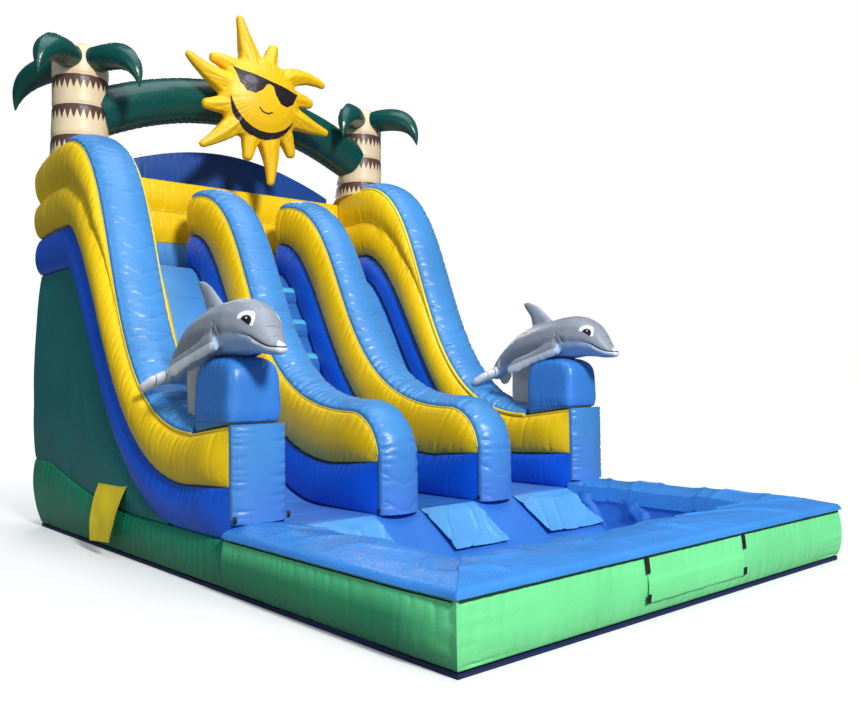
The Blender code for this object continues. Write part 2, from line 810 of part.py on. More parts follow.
def outer_rail(side, collection, cutters):
    """Outer rail of one side: side wall, foot, yellow band with its hump, cap and front panel."""
    label = "left" if side < 0 else "right"
    x_low, x_high = sorted((side * HALF_WIDTH, side * (RAIL_INNER + GAP)))
    top = rail_top_line()
    foot = foot_line()
    lobe = share_between(top, foot, hump_share(LOBE_TIP_SHARE, HUMP_LOBE_SHARE))
    band = share_between(top, foot, hump_share(BAND_SHARE, HUMP_BAND_SHARE))

    def by_side(outer, inner):
        return (outer, inner) if side < 0 else (inner, outer)

    tower_chamber(f"side_wall_{label}", x_low, x_high, REAR, by_side(1.0, 0.0), DARK_GREEN, collection, cutters)

    fade = front_fade(len(top), (0.8, 0.0))
    swells = [by_side(share, 0.0 if index < 2 else share) for index, share in enumerate(fade)]
    spans = []
    for seam, low, deck in zip(band, foot, bed_line()):
        spans.append(by_side(1.0, (seam.z - deck.z - 4 * GAP) / (seam.z - low.z)))
    name = f"rail_foot_{label}"
    chamber(name, band, foot, x_low, x_high, SIDE_BULGE, vinyl(name, DEEP_BLUE), collection,
            spans=spans, swells=swells)
    name = f"rail_band_{label}"
    chamber(name, top, band, x_low, x_high, SIDE_BULGE, vinyl(name, YELLOW), collection,
            crease=lobe, swells=swells)

    post_back = at(FRONT + POST_LENGTH, 0).y
    strip = [point for point in top[2:] if point.y > post_back + GAP]
    strip.append(line_point_at(top, post_back + GAP))
    name = f"rail_cap_{label}"
    rail_cap = cap(name, strip, x_low, x_high, CAP_CROWN, vinyl(name, LIGHT_BLUE), collection, upright_end=True)

    head = at(PANEL_FRONT - GAP, BLOCK_HEIGHT - GAP)
    panel = [head] + along(head, at(PANEL_FRONT - GAP, FRONT_PANEL_FOOT), FRONT_STEPS)
    name = f"rail_front_{label}"
    cap(name, panel, x_low, x_high, PANEL_BULGE, vinyl(name, LIGHT_BLUE), collection)
    return rail_cap


def line_point_at(line, y):
    """Point of a line that runs from the rear to the front, at the given Y."""
    for start, end in zip(line, line[1:]):
        if end.y <= y <= start.y:
            return start.lerp(end, (start.y - y) / (start.y - end.y))
    return line[-1]


def divider(side, collection):
    """Divider between a slide lane and the climbing lane, with its rounded nose."""
    label = "left" if side < 0 else "right"
    x_low, x_high = sorted((side * CLIMB_HALF, side * DIVIDER_OUTER))
    top = divider_top_line()
    bed = bed_line()[2:]
    band = divider_band_line(top, bed)
    swells = [(share, share) for share in front_fade(len(top), (0.95, 0.8, 0.5, 0.0))]
    name = f"divider_foot_{label}"
    chamber(name, band, bed, x_low, x_high, SIDE_BULGE, vinyl(name, DEEP_BLUE), collection, swells=swells)
    name = f"divider_band_{label}"
    chamber(name, top, band, x_low, x_high, SIDE_BULGE, vinyl(name, YELLOW), collection, swells=swells)
    strip = top + along(top[-1], at(FRONT, RUNOUT_HEIGHT + GAP), 3)
    name = f"divider_cap_{label}"
    cap(name, strip, x_low, x_high, CAP_CROWN, vinyl(name, LIGHT_BLUE), collection)


# Posts and dolphins

def post_outline(shrink):
    """Side outline of a post as (back, height), with a round top, drawn in by shrink.

    Its foot is level over the front panel, and runs from there straight down to the rail behind it.
    """
    low = POST_BOTTOM + GAP
    front = FRONT + shrink
    rear = FRONT + POST_LENGTH - shrink
    rear_low = line_point_at(rail_top_line(), at(rear, 0).y).z + GAP
    middle = (front + rear) / 2
    half = (rear - front) / 2
    shoulder = POST_TOP - POST_ROUND
    outline = [(front + CAP_EDGE + GAP, low), (front, low), (front, (low + shoulder) / 2)]
    count = 8
    for index in range(count + 1):
        angle = math.pi * (1 - index / count)
        across = math.copysign(abs(math.cos(angle)) ** 0.7, math.cos(angle))
        outline.append((middle + half * across, shoulder + (POST_ROUND - shrink) * math.sin(angle) ** 0.8))
    outline += [(rear, (low + shoulder) / 2), (rear, rear_low)]
    return outline


def dolphin_post(side, collection):
    """Rounded post on a front block that carries a dolphin, a little narrower at its top."""
    label = "left" if side < 0 else "right"
    centre = side * (HALF_WIDTH - RAIL_WIDTH / 2)
    half = RAIL_WIDTH / 2 - GAP
    rings = []
    for share, shrink in ((-1.0, 0.035), (-0.84, 0.008), (0.0, 0.0), (0.84, 0.008), (1.0, 0.035)):
        ring = []
        for back, height in post_outline(shrink):
            place = at(back, height)
            narrow = 1 - POST_TAPER * (height - POST_BOTTOM) / POST_HEIGHT
            place.x = centre + share * half * narrow
            ring.append(place)
        rings.append(ring)
    name = f"dolphin_post_{label}"
    return loft(name, rings, vinyl(name, LIGHT_BLUE), collection)


def dolphin_spine():
    """Stations of a dolphin as (middle, half width, half height), from the beak to the tail stock.

    The shape's numbers are shares of the body's length, and DOLPHIN_SCALE makes the body fuller.
    """
    shape = (
        (0.000, 0.0186, 0.0120, 0.0100),
        (0.011, 0.0186, 0.0300, 0.0220),
        (0.048, 0.0266, 0.0400, 0.0300),
        (0.074, 0.0460, 0.0500, 0.0500),
        (0.112, 0.0770, 0.0690, 0.0790),
        (0.158, 0.1030, 0.0890, 0.0980),
        (0.230, 0.1225, 0.1090, 0.1145),
        (0.309, 0.1266, 0.1255, 0.1245),
        (0.420, 0.1213, 0.1270, 0.1245),
        (0.548, 0.1064, 0.1220, 0.1215),
        (0.667, 0.0878, 0.1100, 0.1180),
        (0.777, 0.0638, 0.0920, 0.1050),
        (0.877, 0.0266, 0.0700, 0.0880),
        (0.956, -0.0186, 0.0500, 0.0680),
        (1.012, -0.0559, 0.0360, 0.0500),
        (1.047, -0.0851, 0.0200, 0.0320),
    )
    spine = []
    for share, height, wide, tall in shape:
        back = FRONT - DOLPHIN_OVERHANG + share * DOLPHIN_BODY
        centre = at(back, POST_TOP + height * DOLPHIN_GIRTH + DOLPHIN_LIFT)
        spine.append((centre, wide * DOLPHIN_GIRTH, tall * DOLPHIN_GIRTH))
    return spine


def dolphin_x(side, y):
    """X of the dolphin's middle, which splays out towards the tail."""
    over_post = at(FRONT, 0).y
    share = (y - over_post) / DOLPHIN_BODY
    return side * (HALF_WIDTH - RAIL_WIDTH / 2 + DOLPHIN_OUTSET + DOLPHIN_SPLAY * share)


def fin(name, root, tip, root_length, tip_length, thickness, chord, material, collection):
    """Flat tapered fin from a root to a tip, with its chord along a direction."""
    chord = chord.normalized()
    span = tip - root
    up = span.cross(chord).normalized()
    rings = []
    for t, length, bend in ((0.0, root_length, 0.0), (0.5, (root_length + tip_length) / 2 * 0.9, 0.05),
                            (0.85, tip_length * 1.3, 0.16), (1.0, tip_length * 0.6, 0.26)):
        middle = root + span * t + chord * (bend * root_length)
        half = thickness / 2 * (1 - 0.55 * t)
        ring = []
        for along_chord, lift in FIN_SECTION:
            ring.append(middle + chord * (along_chord * length) + up * (lift * half))
        rings.append(ring)
    return loft(name, rings, material, collection)


def dolphin(side, collection, cutters):
    """Inflated dolphin that lies over its post, with its fins joined to the body."""
    label = "left" if side < 0 else "right"
    sides = 12
    rings = []
    for centre, wide, tall in dolphin_spine():
        x = dolphin_x(side, centre.y)
        ring = []
        for index in range(sides):
            angle = 2 * math.pi * index / sides
            ring.append(Vector((x + math.cos(angle) * wide, centre.y, centre.z + math.sin(angle) * tall)))
        rings.append(ring)
    body = loft(f"dolphin_{label}", rings, vinyl(f"dolphin_{label}", GREY), collection)
    triangulate(body)

    def spot(share, lateral, up):
        place = at(FRONT - DOLPHIN_OVERHANG + share * DOLPHIN_BODY, POST_TOP + up * DOLPHIN_GIRTH)
        place.x = dolphin_x(side, place.y) + lateral * DOLPHIN_GIRTH
        return place

    def join_fin(fin_name, root, tip, root_length, tip_length, thickness, chord):
        piece = fin(f"{fin_name}_{label}", spot(*root), spot(*tip), root_length * DOLPHIN_GIRTH,
                    tip_length * DOLPHIN_GIRTH, thickness * DOLPHIN_GIRTH, chord,
                    body.data.materials[0], cutters)
        boolean(body, hide_cutter(piece), "UNION")

    join_fin("dorsal", (0.561, 0, 0.1760), (0.683, 0, 0.3640),
             0.2400, 0.0950, 0.0532, Vector((0.0, 1.0, 0.0)))
    for way, text in ((-1, "near"), (1, "far")):
        join_fin(f"flipper_{text}", (0.375, way * 0.1160, 0.0690), (0.786, way * 0.1560, -0.0440),
                 0.1050, 0.0700, 0.0400, Vector((0.0, -0.35, -0.94)))
        join_fin(f"fluke_{text}", (1.000, way * 0.0053, -0.0640), (1.068, way * 0.1500, -0.1140),
                 0.1400, 0.0820, 0.0420, Vector((0.0, 0.85, -0.55)))
    return body


def triangulate(obj):
    """Splits an object's faces into triangles, so that a seat cut by its copy follows them exactly."""
    bm = bmesh.new()
    bm.from_mesh(obj.data)
    bmesh.ops.triangulate(bm, faces=bm.faces)
    bm.to_mesh(obj.data)
    bm.free()


def seat_cut(name, source, growth, cutters):
    """Slightly larger copy of a solid, which cuts the seat for it into a neighbour."""
    depsgraph = bpy.context.evaluated_depsgraph_get()
    mesh = bpy.data.meshes.new_from_object(source.evaluated_get(depsgraph))
    bm = bmesh.new()
    bm.from_mesh(mesh)
    bmesh.ops.remove_doubles(bm, verts=bm.verts, dist=0.00005)
    bm.normal_update()
    moves = [(vertex, vertex.normal * growth) for vertex in bm.verts]
    for vertex, move in moves:
        vertex.co += move
    bm.to_mesh(mesh)
    bm.free()
    obj = bpy.data.objects.new(name, mesh)
    obj.matrix_world = source.matrix_world
    cutters.objects.link(obj)
    return hide_cutter(obj)


def tail_gusset(side, seats, collection):
    """Upright web between a dolphin's belly, its post and the rail below, cut to all three."""
    label = "left" if side < 0 else "right"
    start = FRONT + POST_LENGTH - GUSSET_SINK
    end = FRONT + POST_LENGTH + GUSSET_LENGTH
    rail = rail_top_line()
    steps = 6
    lower = []
    upper = []
    for index in range(steps + 1):
        back = start + (end - start) * index / steps
        y = at(back, 0).y
        lower.append((back, line_point_at(rail, y).z + CAP_EDGE + CAP_CROWN - GUSSET_SINK))
        upper.append((back, belly_height(y) + GUSSET_SINK))
    name = f"tail_gusset_{label}"
    x = dolphin_x(side, at(FRONT + POST_LENGTH, 0).y)
    web = flat_outline(name, lower + list(reversed(upper)), GUSSET_THICKNESS, vinyl(name, PALE), collection,
                       side_plane(x))
    for seat in seats:
        boolean(web, seat, "DIFFERENCE")


def belly_height(y):
    """Height of the dolphin's underside at the given Y."""
    spine = dolphin_spine()
    for near, far in zip(spine, spine[1:]):
        if near[0].y <= y <= far[0].y:
            share = (y - near[0].y) / (far[0].y - near[0].y)
            near_low = near[0].z - near[2]
            far_low = far[0].z - far[2]
            return near_low + (far_low - near_low) * share
    return spine[-1][0].z - spine[-1][2]


# Palms, arch and sun

def trunk_lean():
    """Shear that leans a trunk forward as it rises."""
    lean = Matrix.Identity(4)
    lean[1][2] = -TRUNK_LEAN / TRUNK_HEIGHT
    return lean


def trunk_matrix(side):
    base = at(TRUNK_BACK, TRUNK_BASE)
    return Matrix.Translation((side * TRUNK_X, base.y, base.z)) @ trunk_lean()


def palm_trunk(side, collection):
    """Turned trunk with a flared foot, slight drawn-in bands and a domed top."""
    label = "left" if side < 0 else "right"
    profile = (
        (0.0, 1.0), (0.50, 0.993), (0.82, 0.972), (0.96, 0.935), (1.0, 0.88), (1.02, 0.78), (0.985, 0.70),
        (1.02, 0.62), (1.02, 0.54), (0.985, 0.46), (1.02, 0.38), (1.02, 0.30), (1.0, 0.22),
    )
    mesh = bpy.data.meshes.new(f"palm_trunk_{label}")
    bm = bmesh.new()
    verts = [bm.verts.new((radius * TRUNK_RADIUS, 0.0, height * TRUNK_HEIGHT)) for radius, height in profile]
    verts.append(bm.verts.new((TRUNK_RADIUS + TRUNK_FLARE, 0.0, 0.08 * TRUNK_HEIGHT)))
    verts.append(bm.verts.new((TRUNK_RADIUS + TRUNK_FLARE, 0.0, GAP)))
    verts.append(bm.verts.new((0.0, 0.0, GAP)))
    for start, end in zip(verts, verts[1:]):
        bm.edges.new((start, end))
    bm.to_mesh(mesh)
    bm.free()
    obj = link_mesh(f"palm_trunk_{label}", mesh, vinyl(f"palm_trunk_{label}", BEIGE), collection)
    screw = obj.modifiers.new("turned", "SCREW")
    screw.steps = 16
    screw.render_steps = 16
    screw.use_merge_vertices = True
    screw.merge_threshold = 0.0001
    bpy.context.view_layer.update()
    depsgraph = bpy.context.evaluated_depsgraph_get()
    turned = bpy.data.meshes.new_from_object(obj.evaluated_get(depsgraph))
    for vertex in turned.vertices:
        share = smooth_step(1 - vertex.co.z / (TRUNK_HEIGHT * 0.42))
        if vertex.co.y > 0:
            vertex.co.y *= 1 + TRUNK_REAR_FLARE / TRUNK_RADIUS * share
    turned.transform(trunk_matrix(side))
    bm = bmesh.new()
    bm.from_mesh(turned)
    bmesh.ops.triangulate(bm, faces=bm.faces)
    bm.to_mesh(turned)
    bm.free()
    obj.modifiers.clear()
    obj.data = turned
    return shade(obj)


def hump_seat(side, material, cutters):
    """Block with the hump's outline, which cuts the foot of a trunk to it."""
    line = [point for point in rail_top_line() if point.y > at(LIP, 0).y]
    outline = [(point.y + LENGTH / 2, point.z + 2 * GAP) for point in line]
    low = TRUNK_BASE - HUMP_REAR_DROP
    outline = [(REAR + 4 * GAP, low), (REAR + 4 * GAP, outline[0][1])] + outline[1:] + [(outline[-1][0], low)]
    label = "left" if side < 0 else "right"
    seat = flat_outline(f"hump_seat_{label}", outline, 2 * RAIL_WIDTH + 0.4, material, cutters,
                        side_plane(side * TRUNK_X))
    return hide_cutter(seat)


def frond(name, side, heading, seat, collection):
    """Curved frond that springs from the trunk and droops to a point."""
    angle = math.radians(heading)
    out = Vector((math.cos(angle), math.sin(angle), 0.0))
    top = trunk_matrix(side) @ Vector((0.0, 0.0, TRUNK_HEIGHT - FROND_BELOW_TOP))
    start = top + out * (TRUNK_RADIUS * 0.6)
    reach = TRUNK_RADIUS * 0.4 + FROND_REACH
    end = start + out * reach - Vector((0, 0, FROND_DROP))
    path = bezier(start, start + out * reach * 0.70 + Vector((0, 0, 0.05)),
                  end + Vector((0, 0, FROND_DROP * 0.75)) - out * 0.04, end, 9)
    radii = [0.95, 1.0, 1.01, 0.99, 0.93, 0.83, 0.68, 0.49, 0.27, 0.05]
    obj = curve_object(name, path, radii, FROND_RADIUS, 2, vinyl(name, DARK_GREEN), collection)
    obj = as_mesh(obj, collection)
    boolean(obj, seat, "DIFFERENCE")


def arch_point(x):
    rise = ARCH_RISE * (x / TRUNK_X) ** 2
    lean = TRUNK_LEAN * (ARCH_APEX - TRUNK_BASE) / TRUNK_HEIGHT
    return Vector((x, at(TRUNK_BACK, 0).y - lean, ARCH_APEX - rise))


def arch_tube(seats, collection):
    """Bowed tube from palm to palm, cut to the round of both trunks."""
    count = 18
    path = [arch_point(-TRUNK_X + 2 * TRUNK_X * index / count) for index in range(count + 1)]
    obj = curve_object("arch_tube", path, [1.0] * len(path), ARCH_RADIUS, 3,
                       vinyl("arch_tube", DARK_GREEN), collection)
    obj = as_mesh(obj, collection)
    for seat in seats:
        boolean(obj, seat, "DIFFERENCE")
    return obj


def sun(arch, collection, cutters):
    """Round cushion with long and short rays in turn, on the front of the arch."""
    centre = arch_point(SUN_SHIFT)
    centre.y -= ARCH_RADIUS + SUN_THICKNESS / 2 - SUN_SINK
    centre.z = SUN_HEIGHT
    bpy.ops.mesh.primitive_uv_sphere_add(segments=20, ring_count=10, radius=1.0)
    disc = bpy.context.object
    disc.name = "sun"
    disc.rotation_euler = (math.radians(90), 0.0, 0.0)
    bpy.ops.object.transform_apply(location=False, rotation=True, scale=False)
    disc.scale = (SUN_RADIUS, SUN_THICKNESS / 2, SUN_RADIUS)
    disc.location = centre
    bpy.ops.object.transform_apply(location=True, rotation=False, scale=True)
    disc.data.materials.append(vinyl("sun", YELLOW))
    for owner in list(disc.users_collection):
        owner.objects.unlink(disc)
    collection.objects.link(disc)
    for index in range(SUN_RAYS):
        is_long = index % 2 == 0
        angle = math.radians(105 - 360 / SUN_RAYS * index)
        reach = SUN_LONG_RAY if is_long else SUN_SHORT_RAY
        turned = math.radians(SUN_TIP_TURNS[index])
        width = SUN_RAY_WIDTH if is_long else SUN_RAY_WIDTH * 0.85
        path = []
        for share in (0.0, 0.22, 0.44, 0.66, 0.86, 0.97, 1.0):
            radius = SUN_RADIUS * 0.76 + (reach - SUN_RADIUS * 0.76) * share
            turn = angle + turned * share ** 1.3
            path.append(centre + Vector((math.cos(turn) * radius, 0.0, math.sin(turn) * radius)))
        radii = SUN_LONG_TAPER if is_long else SUN_SHORT_TAPER
        ray = curve_object(f"sun_ray_{index}", path, radii, width, 1, disc.data.materials[0], cutters)
        ray = as_mesh(ray, cutters)
        boolean(disc, hide_cutter(ray), "UNION")
    boolean(disc, seat_cut("arch_seat", arch, GAP * 1.5, cutters), "DIFFERENCE")
    return shade(disc)


# Pool

def wall_section():
    """Outline of a pool wall's skin as (distance in from the outer face, height), open below."""
    return wall_side(0.0) + list(reversed(wall_side(SKIN)))


def wall_side(depth):
    """Line over a pool wall at a depth in its skin, from the outer foot to the inner foot."""
    bottom = GROUND_SHEET + GAP
    top = POOL_WALL_HEIGHT - depth
    outer = depth
    inner = POOL_WALL - depth
    points = []
    for index in range(SIDE_STEPS + 1):
        t = index / SIDE_STEPS
        points.append((outer - PANEL_BULGE * math.sin(math.pi * t), bottom + (top - bottom) * t))
    for index in range(1, SIDE_STEPS):
        t = index / SIDE_STEPS
        points.append((outer + (inner - outer) * t, top + POOL_CROWN * math.sin(math.pi * t)))
    for index in range(SIDE_STEPS + 1):
        t = index / SIDE_STEPS
        points.append((inner + PANEL_BULGE * math.sin(math.pi * t) / 2, top + (bottom - top) * t))
    return points


def mitred_rings(section, mitre, kind):
    """Rings of a wall: kind -1 and 1 are the side walls, 0 the front wall, mitred at the corners."""
    rings = []
    for share in (0.0, 1.0):
        ring = []
        for depth, height in section:
            if kind == 0:
                left = -HALF_WIDTH + depth + mitre
                right = HALF_WIDTH - depth - mitre
                ring.append(Vector((left + (right - left) * share, at(depth, 0).y, height)))
            else:
                near = at(depth + mitre, 0).y
                far = at(PANEL_FRONT - GAP, 0).y
                ring.append(Vector((kind * (HALF_WIDTH - depth), near + (far - near) * share, height)))
        rings.append(ring)
    return rings


def pool_walls(collection):
    for kind, label in ((-1, "left"), (0, "front"), (1, "right")):
        name = f"pool_wall_{label}"
        loft(name, mitred_rings(wall_section(), GAP, kind), vinyl(name, POOL_GREEN), collection)


def cover_section(lift):
    """Section of a rim cover: outer lip, crowned top and inner lip."""
    top = POOL_WALL_HEIGHT
    outer = PANEL_BULGE * math.sin(math.pi * COVER_LIP / top) + 2 * GAP + lift
    points = [(-outer, top - COVER_LIP), (-outer, top - COVER_LIP / 2)]
    for index in range(SIDE_STEPS + 1):
        t = index / SIDE_STEPS
        across = -2 * GAP - lift + (POOL_WALL + 4 * GAP + 2 * lift) * t
        points.append((across, top + POOL_CROWN * math.sin(math.pi * t) + 2 * GAP + lift))
    inner = POOL_WALL + PANEL_BULGE * math.sin(math.pi * COVER_INNER_LIP / top) / 2 + 3 * GAP + lift
    points.append((inner, top - COVER_INNER_LIP / 2))
    points.append((inner, top - COVER_INNER_LIP))
    return points


def rim_covers(collection):
    """Vinyl sheets that lie over the rims of the pool."""
    for kind, label in ((-1, "left"), (0, "front"), (1, "right")):
        name = f"rim_cover_{label}"
        section = cover_section(SHEET) + list(reversed(cover_section(0.0)))
        loft(name, mitred_rings(section, 3 * GAP, kind), vinyl(name, LIGHT_BLUE), collection)


def pool_liner(collection):
    """Blue liner: the pool's floor and its four sides, an open box of sheet."""
    half = HALF_WIDTH - POOL_WALL - PANEL_BULGE / 2 - 2 * GAP
    near = at(POOL_WALL + PANEL_BULGE / 2 + 2 * GAP, 0).y
    floor_far = at(FRONT - LINER_SLOPE, 0).y
    rim_far = at(PANEL_FRONT - SHEET, 0).y
    low = GROUND_SHEET + GAP
    high = LINER_DEPTH
    mesh = bpy.data.meshes.new("pool_liner")
    bm = bmesh.new()
    floor = [bm.verts.new(p) for p in ((-half, near, low), (half, near, low), (half, floor_far, low),
                                       (-half, floor_far, low))]
    rim = [bm.verts.new(p) for p in ((-half, near, high), (half, near, high), (half, rim_far, high),
                                     (-half, rim_far, high))]
    bm.faces.new(floor)
    for index in range(4):
        following = (index + 1) % 4
        bm.faces.new((floor[index], rim[index], rim[following], floor[following]))
    bmesh.ops.recalc_face_normals(bm, faces=bm.faces)
    bm.faces.ensure_lookup_table()
    if bm.faces[0].normal.z < 0:
        bmesh.ops.reverse_faces(bm, faces=bm.faces)
    bm.to_mesh(mesh)
    bm.free()
    obj = link_mesh("pool_liner", mesh, vinyl("pool_liner", LIGHT_BLUE), collection)
    solid = obj.modifiers.new("sheet", "SOLIDIFY")
    solid.thickness = SHEET
    solid.offset = 1.0
    solid.use_even_offset = True


def hinged_sheet(name, hinge, size, tilt, material, collection):
    """Sheet that hangs from a sewn edge, which is also its origin and its hinge."""
    width, length = size
    bpy.ops.mesh.primitive_cube_add(size=1.0)
    obj = bpy.context.object
    obj.name = name
    obj.scale = (width, FLAP_THICKNESS, length)
    obj.location = (0.0, -FLAP_THICKNESS / 2, -length / 2)
    bpy.ops.object.transform_apply(location=True, rotation=False, scale=True)
    obj.location = hinge
    obj.rotation_euler = (-tilt, 0.0, 0.0)
    obj.data.materials.append(material)
    for owner in list(obj.users_collection):
        owner.objects.unlink(obj)
    collection.objects.link(obj)


def landing_flap(name, x_low, x_high, collection):
    """Sheet that hangs from the end of a lane into the pool."""
    hinge = at(PANEL_FRONT - 1.5 * GAP, RUNOUT_HEIGHT)
    hinge.x = (x_low + x_high) / 2
    hinged_sheet(name, hinge, (x_high - x_low, FLAP_LENGTH), FLAP_ANGLE, vinyl(name, LIGHT_BLUE), collection)


def drain_flap(collection):
    """Green flap over the drain on the pool's front wall."""
    hinge = at(-PANEL_BULGE - 1.5 * GAP, DRAIN_FLAP_TOP)
    hinge.x = DRAIN_FLAP_SHIFT
    size = (DRAIN_FLAP_WIDTH, DRAIN_FLAP_HEIGHT)
    hinged_sheet("drain_flap", hinge, size, 0.0, vinyl("drain_flap", POOL_GREEN), collection)


def inflation_sleeve(seat, collection):
    """Cloth sleeve for the blower on the back of the base mattress, tied shut."""
    start = at(REAR + rear_swell(SLEEVE_HEIGHT - SLEEVE_RADIUS) - SLEEVE_SINK, SLEEVE_HEIGHT)
    start.x = -HALF_WIDTH + SLEEVE_INSET
    shares = (0.0, 0.2, 0.5, 0.66, 0.74, 0.80, 0.88, 1.0)
    radii = (1.0, 1.0, 0.95, 0.70, 0.36, 0.36, 0.60, 0.75)
    path = []
    for share in shares:
        path.append(start + Vector((0.0, SLEEVE_LENGTH * share, -0.06 * max(0.0, share - 0.2) ** 2)))
    obj = curve_object("inflation_sleeve", path, radii, SLEEVE_RADIUS, 2, vinyl("inflation_sleeve", DEEP_BLUE),
                       collection)
    obj = as_mesh(obj, collection)
    boolean(obj, seat, "DIFFERENCE")


def build():
    clear_scene()
    parts = new_collection("double_water_slide")
    cutters = new_collection("cutters")
    ground_sheet(parts)
    base_seat = base_mattress(parts, cutters)
    tower_chamber("tower_core", -RAIL_INNER + GAP, RAIL_INNER - GAP, WALL_FACE - GAP, (0.0, 0.0), DEEP_BLUE,
                  parts, cutters)
    rear_wall(parts, cutters)
    platform_deck(parts)
    back_wall(parts)
    back_panel(parts)
    slide_bed("slide_bed_left", -RAIL_INNER + GAP, -CLIMB_HALF - GAP, parts)
    slide_bed("slide_bed_right", CLIMB_HALF + GAP, RAIL_INNER - GAP, parts)
    climb_ramp(parts)
    climb_handles(parts)
    headings = {-1: (225, 290, 120), 1: (220, 289, 49)}
    seats = []
    for side in (-1, 1):
        label = "left" if side < 0 else "right"
        rail_cap = outer_rail(side, parts, cutters)
        divider(side, parts)
        post = dolphin_post(side, parts)
        post_seat = seat_cut(f"post_seat_{label}", post, GAP * 1.5, cutters)
        body = dolphin(side, parts, cutters)
        body_seat = seat_cut(f"body_seat_{label}", body, GAP * 2.5, cutters)
        cap_seat = seat_cut(f"cap_seat_{label}", rail_cap, GAP * 1.5, cutters)
        boolean(body, post_seat, "DIFFERENCE")
        tail_gusset(side, (post_seat, body_seat, cap_seat), parts)
        trunk = palm_trunk(side, parts)
        trunk_seat = seat_cut(f"trunk_seat_{label}", trunk, GAP * 1.5, cutters)
        seats.append(trunk_seat)
        boolean(trunk, hump_seat(side, trunk.data.materials[0], cutters), "DIFFERENCE")
        for number, heading in enumerate(headings[side]):
            frond(f"frond_{label}_{number + 1}", side, heading, trunk_seat, parts)
    arch = arch_tube(seats, parts)
    sun(arch, parts, cutters)
    pool_walls(parts)
    rim_covers(parts)
    pool_liner(parts)
    landing_flap("landing_flap_left", -RAIL_INNER + FLAP_SIDE_GAP, -DIVIDER_OUTER - FLAP_SIDE_GAP, parts)
    landing_flap("landing_flap_middle", -CLIMB_HALF + FLAP_SIDE_GAP, CLIMB_HALF - FLAP_SIDE_GAP, parts)
    landing_flap("landing_flap_right", DIVIDER_OUTER + FLAP_SIDE_GAP, RAIL_INNER - FLAP_SIDE_GAP, parts)
    drain_flap(parts)
    inflation_sleeve(base_seat, parts)


build()
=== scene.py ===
import math
import bmesh
import bpy
import numpy as np
from mathutils import Matrix, Vector


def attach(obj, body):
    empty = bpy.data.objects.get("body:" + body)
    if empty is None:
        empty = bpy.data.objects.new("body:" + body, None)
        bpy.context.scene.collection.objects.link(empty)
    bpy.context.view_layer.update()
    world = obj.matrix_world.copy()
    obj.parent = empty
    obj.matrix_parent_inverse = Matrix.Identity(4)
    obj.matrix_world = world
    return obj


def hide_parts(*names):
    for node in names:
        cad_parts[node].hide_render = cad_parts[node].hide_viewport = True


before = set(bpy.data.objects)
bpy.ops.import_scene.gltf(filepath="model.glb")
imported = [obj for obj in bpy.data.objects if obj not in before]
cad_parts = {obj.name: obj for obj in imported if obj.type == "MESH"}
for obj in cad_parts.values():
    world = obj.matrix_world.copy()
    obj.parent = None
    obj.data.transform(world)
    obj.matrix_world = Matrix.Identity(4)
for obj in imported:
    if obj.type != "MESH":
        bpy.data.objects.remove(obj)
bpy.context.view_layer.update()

print("frame loaded:", len(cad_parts), "nodes")
bpy.ops.object.select_all(action="DESELECT")


# helpers for node trees

def toLinear(colour):
    return tuple((c / 255 / 12.92) if c < 11 else ((c / 255 + 0.055) / 1.055) ** 2.4 for c in colour)


def addNode(tree, kind, values=None, **options):
    node = tree.nodes.new("ShaderNode" + kind)
    for key, value in options.items():
        setattr(node, key, value)
    for key, value in (values or {}).items():
        if isinstance(value, bpy.types.NodeSocket):
            tree.links.new(value, node.inputs[key])
        else:
            node.inputs[key].default_value = value
    return node


def sums(tree, operation, a, b=0.0, clamp=False):
    return addNode(tree, "Math", {0: a, 1: b}, operation=operation, use_clamp=clamp).outputs[0]


def vectors(tree, operation, a, b=(0.0, 0.0, 0.0)):
    return addNode(tree, "VectorMath", {0: a, 1: b}, operation=operation).outputs


def mapRange(tree, value, start, end, low=0.0, high=1.0):
    limits = {"From Min": start, "From Max": end, "To Min": low, "To Max": high}
    return addNode(tree, "MapRange", {"Value": value, **limits}).outputs[0]


def blendColours(tree, share, a, b):
    mix = addNode(tree, "Mix", {0: share}, data_type="RGBA")
    for socket, value in ((mix.inputs[6], a), (mix.inputs[7], b)):
        if isinstance(value, bpy.types.NodeSocket):
            tree.links.new(value, socket)
        else:
            socket.default_value = (*value[:3], 1.0)
    return mix.outputs[2]


def field(tree, name):
    return addNode(tree, "Attribute", attribute_name=name).outputs["Fac"]


def noise(tree, place, scale, detail=2.0, **more):
    values = {"Vector": place, "Scale": scale, "Detail": detail}
    values.update({key.title(): value for key, value in more.items()})
    return addNode(tree, "TexNoise", values).outputs[0]


# camera, lights and stage

view = {"place": (-5.641, -7.270, 1.6835), "yaw": 40.7405, "pitch": 1.4941, "roll": -0.7797, "lens": 36.99}


def addCamera():
    bpy.ops.object.camera_add()
    camera = bpy.context.object
    camera.name = "photoCamera"
    turn = Matrix.Rotation(math.radians(-view["yaw"]), 4, "Z")
    turn = turn @ Matrix.Rotation(math.radians(90 + view["pitch"]), 4, "X")
    turn = turn @ Matrix.Rotation(math.radians(view["roll"]), 4, "Z")
    camera.matrix_world = Matrix.Translation(view["place"]) @ turn
    camera.data.sensor_width = 36
    camera.data.sensor_fit = "HORIZONTAL"
    camera.data.lens = view["lens"]
    camera.data.clip_end = 200
    bpy.context.scene.camera = camera


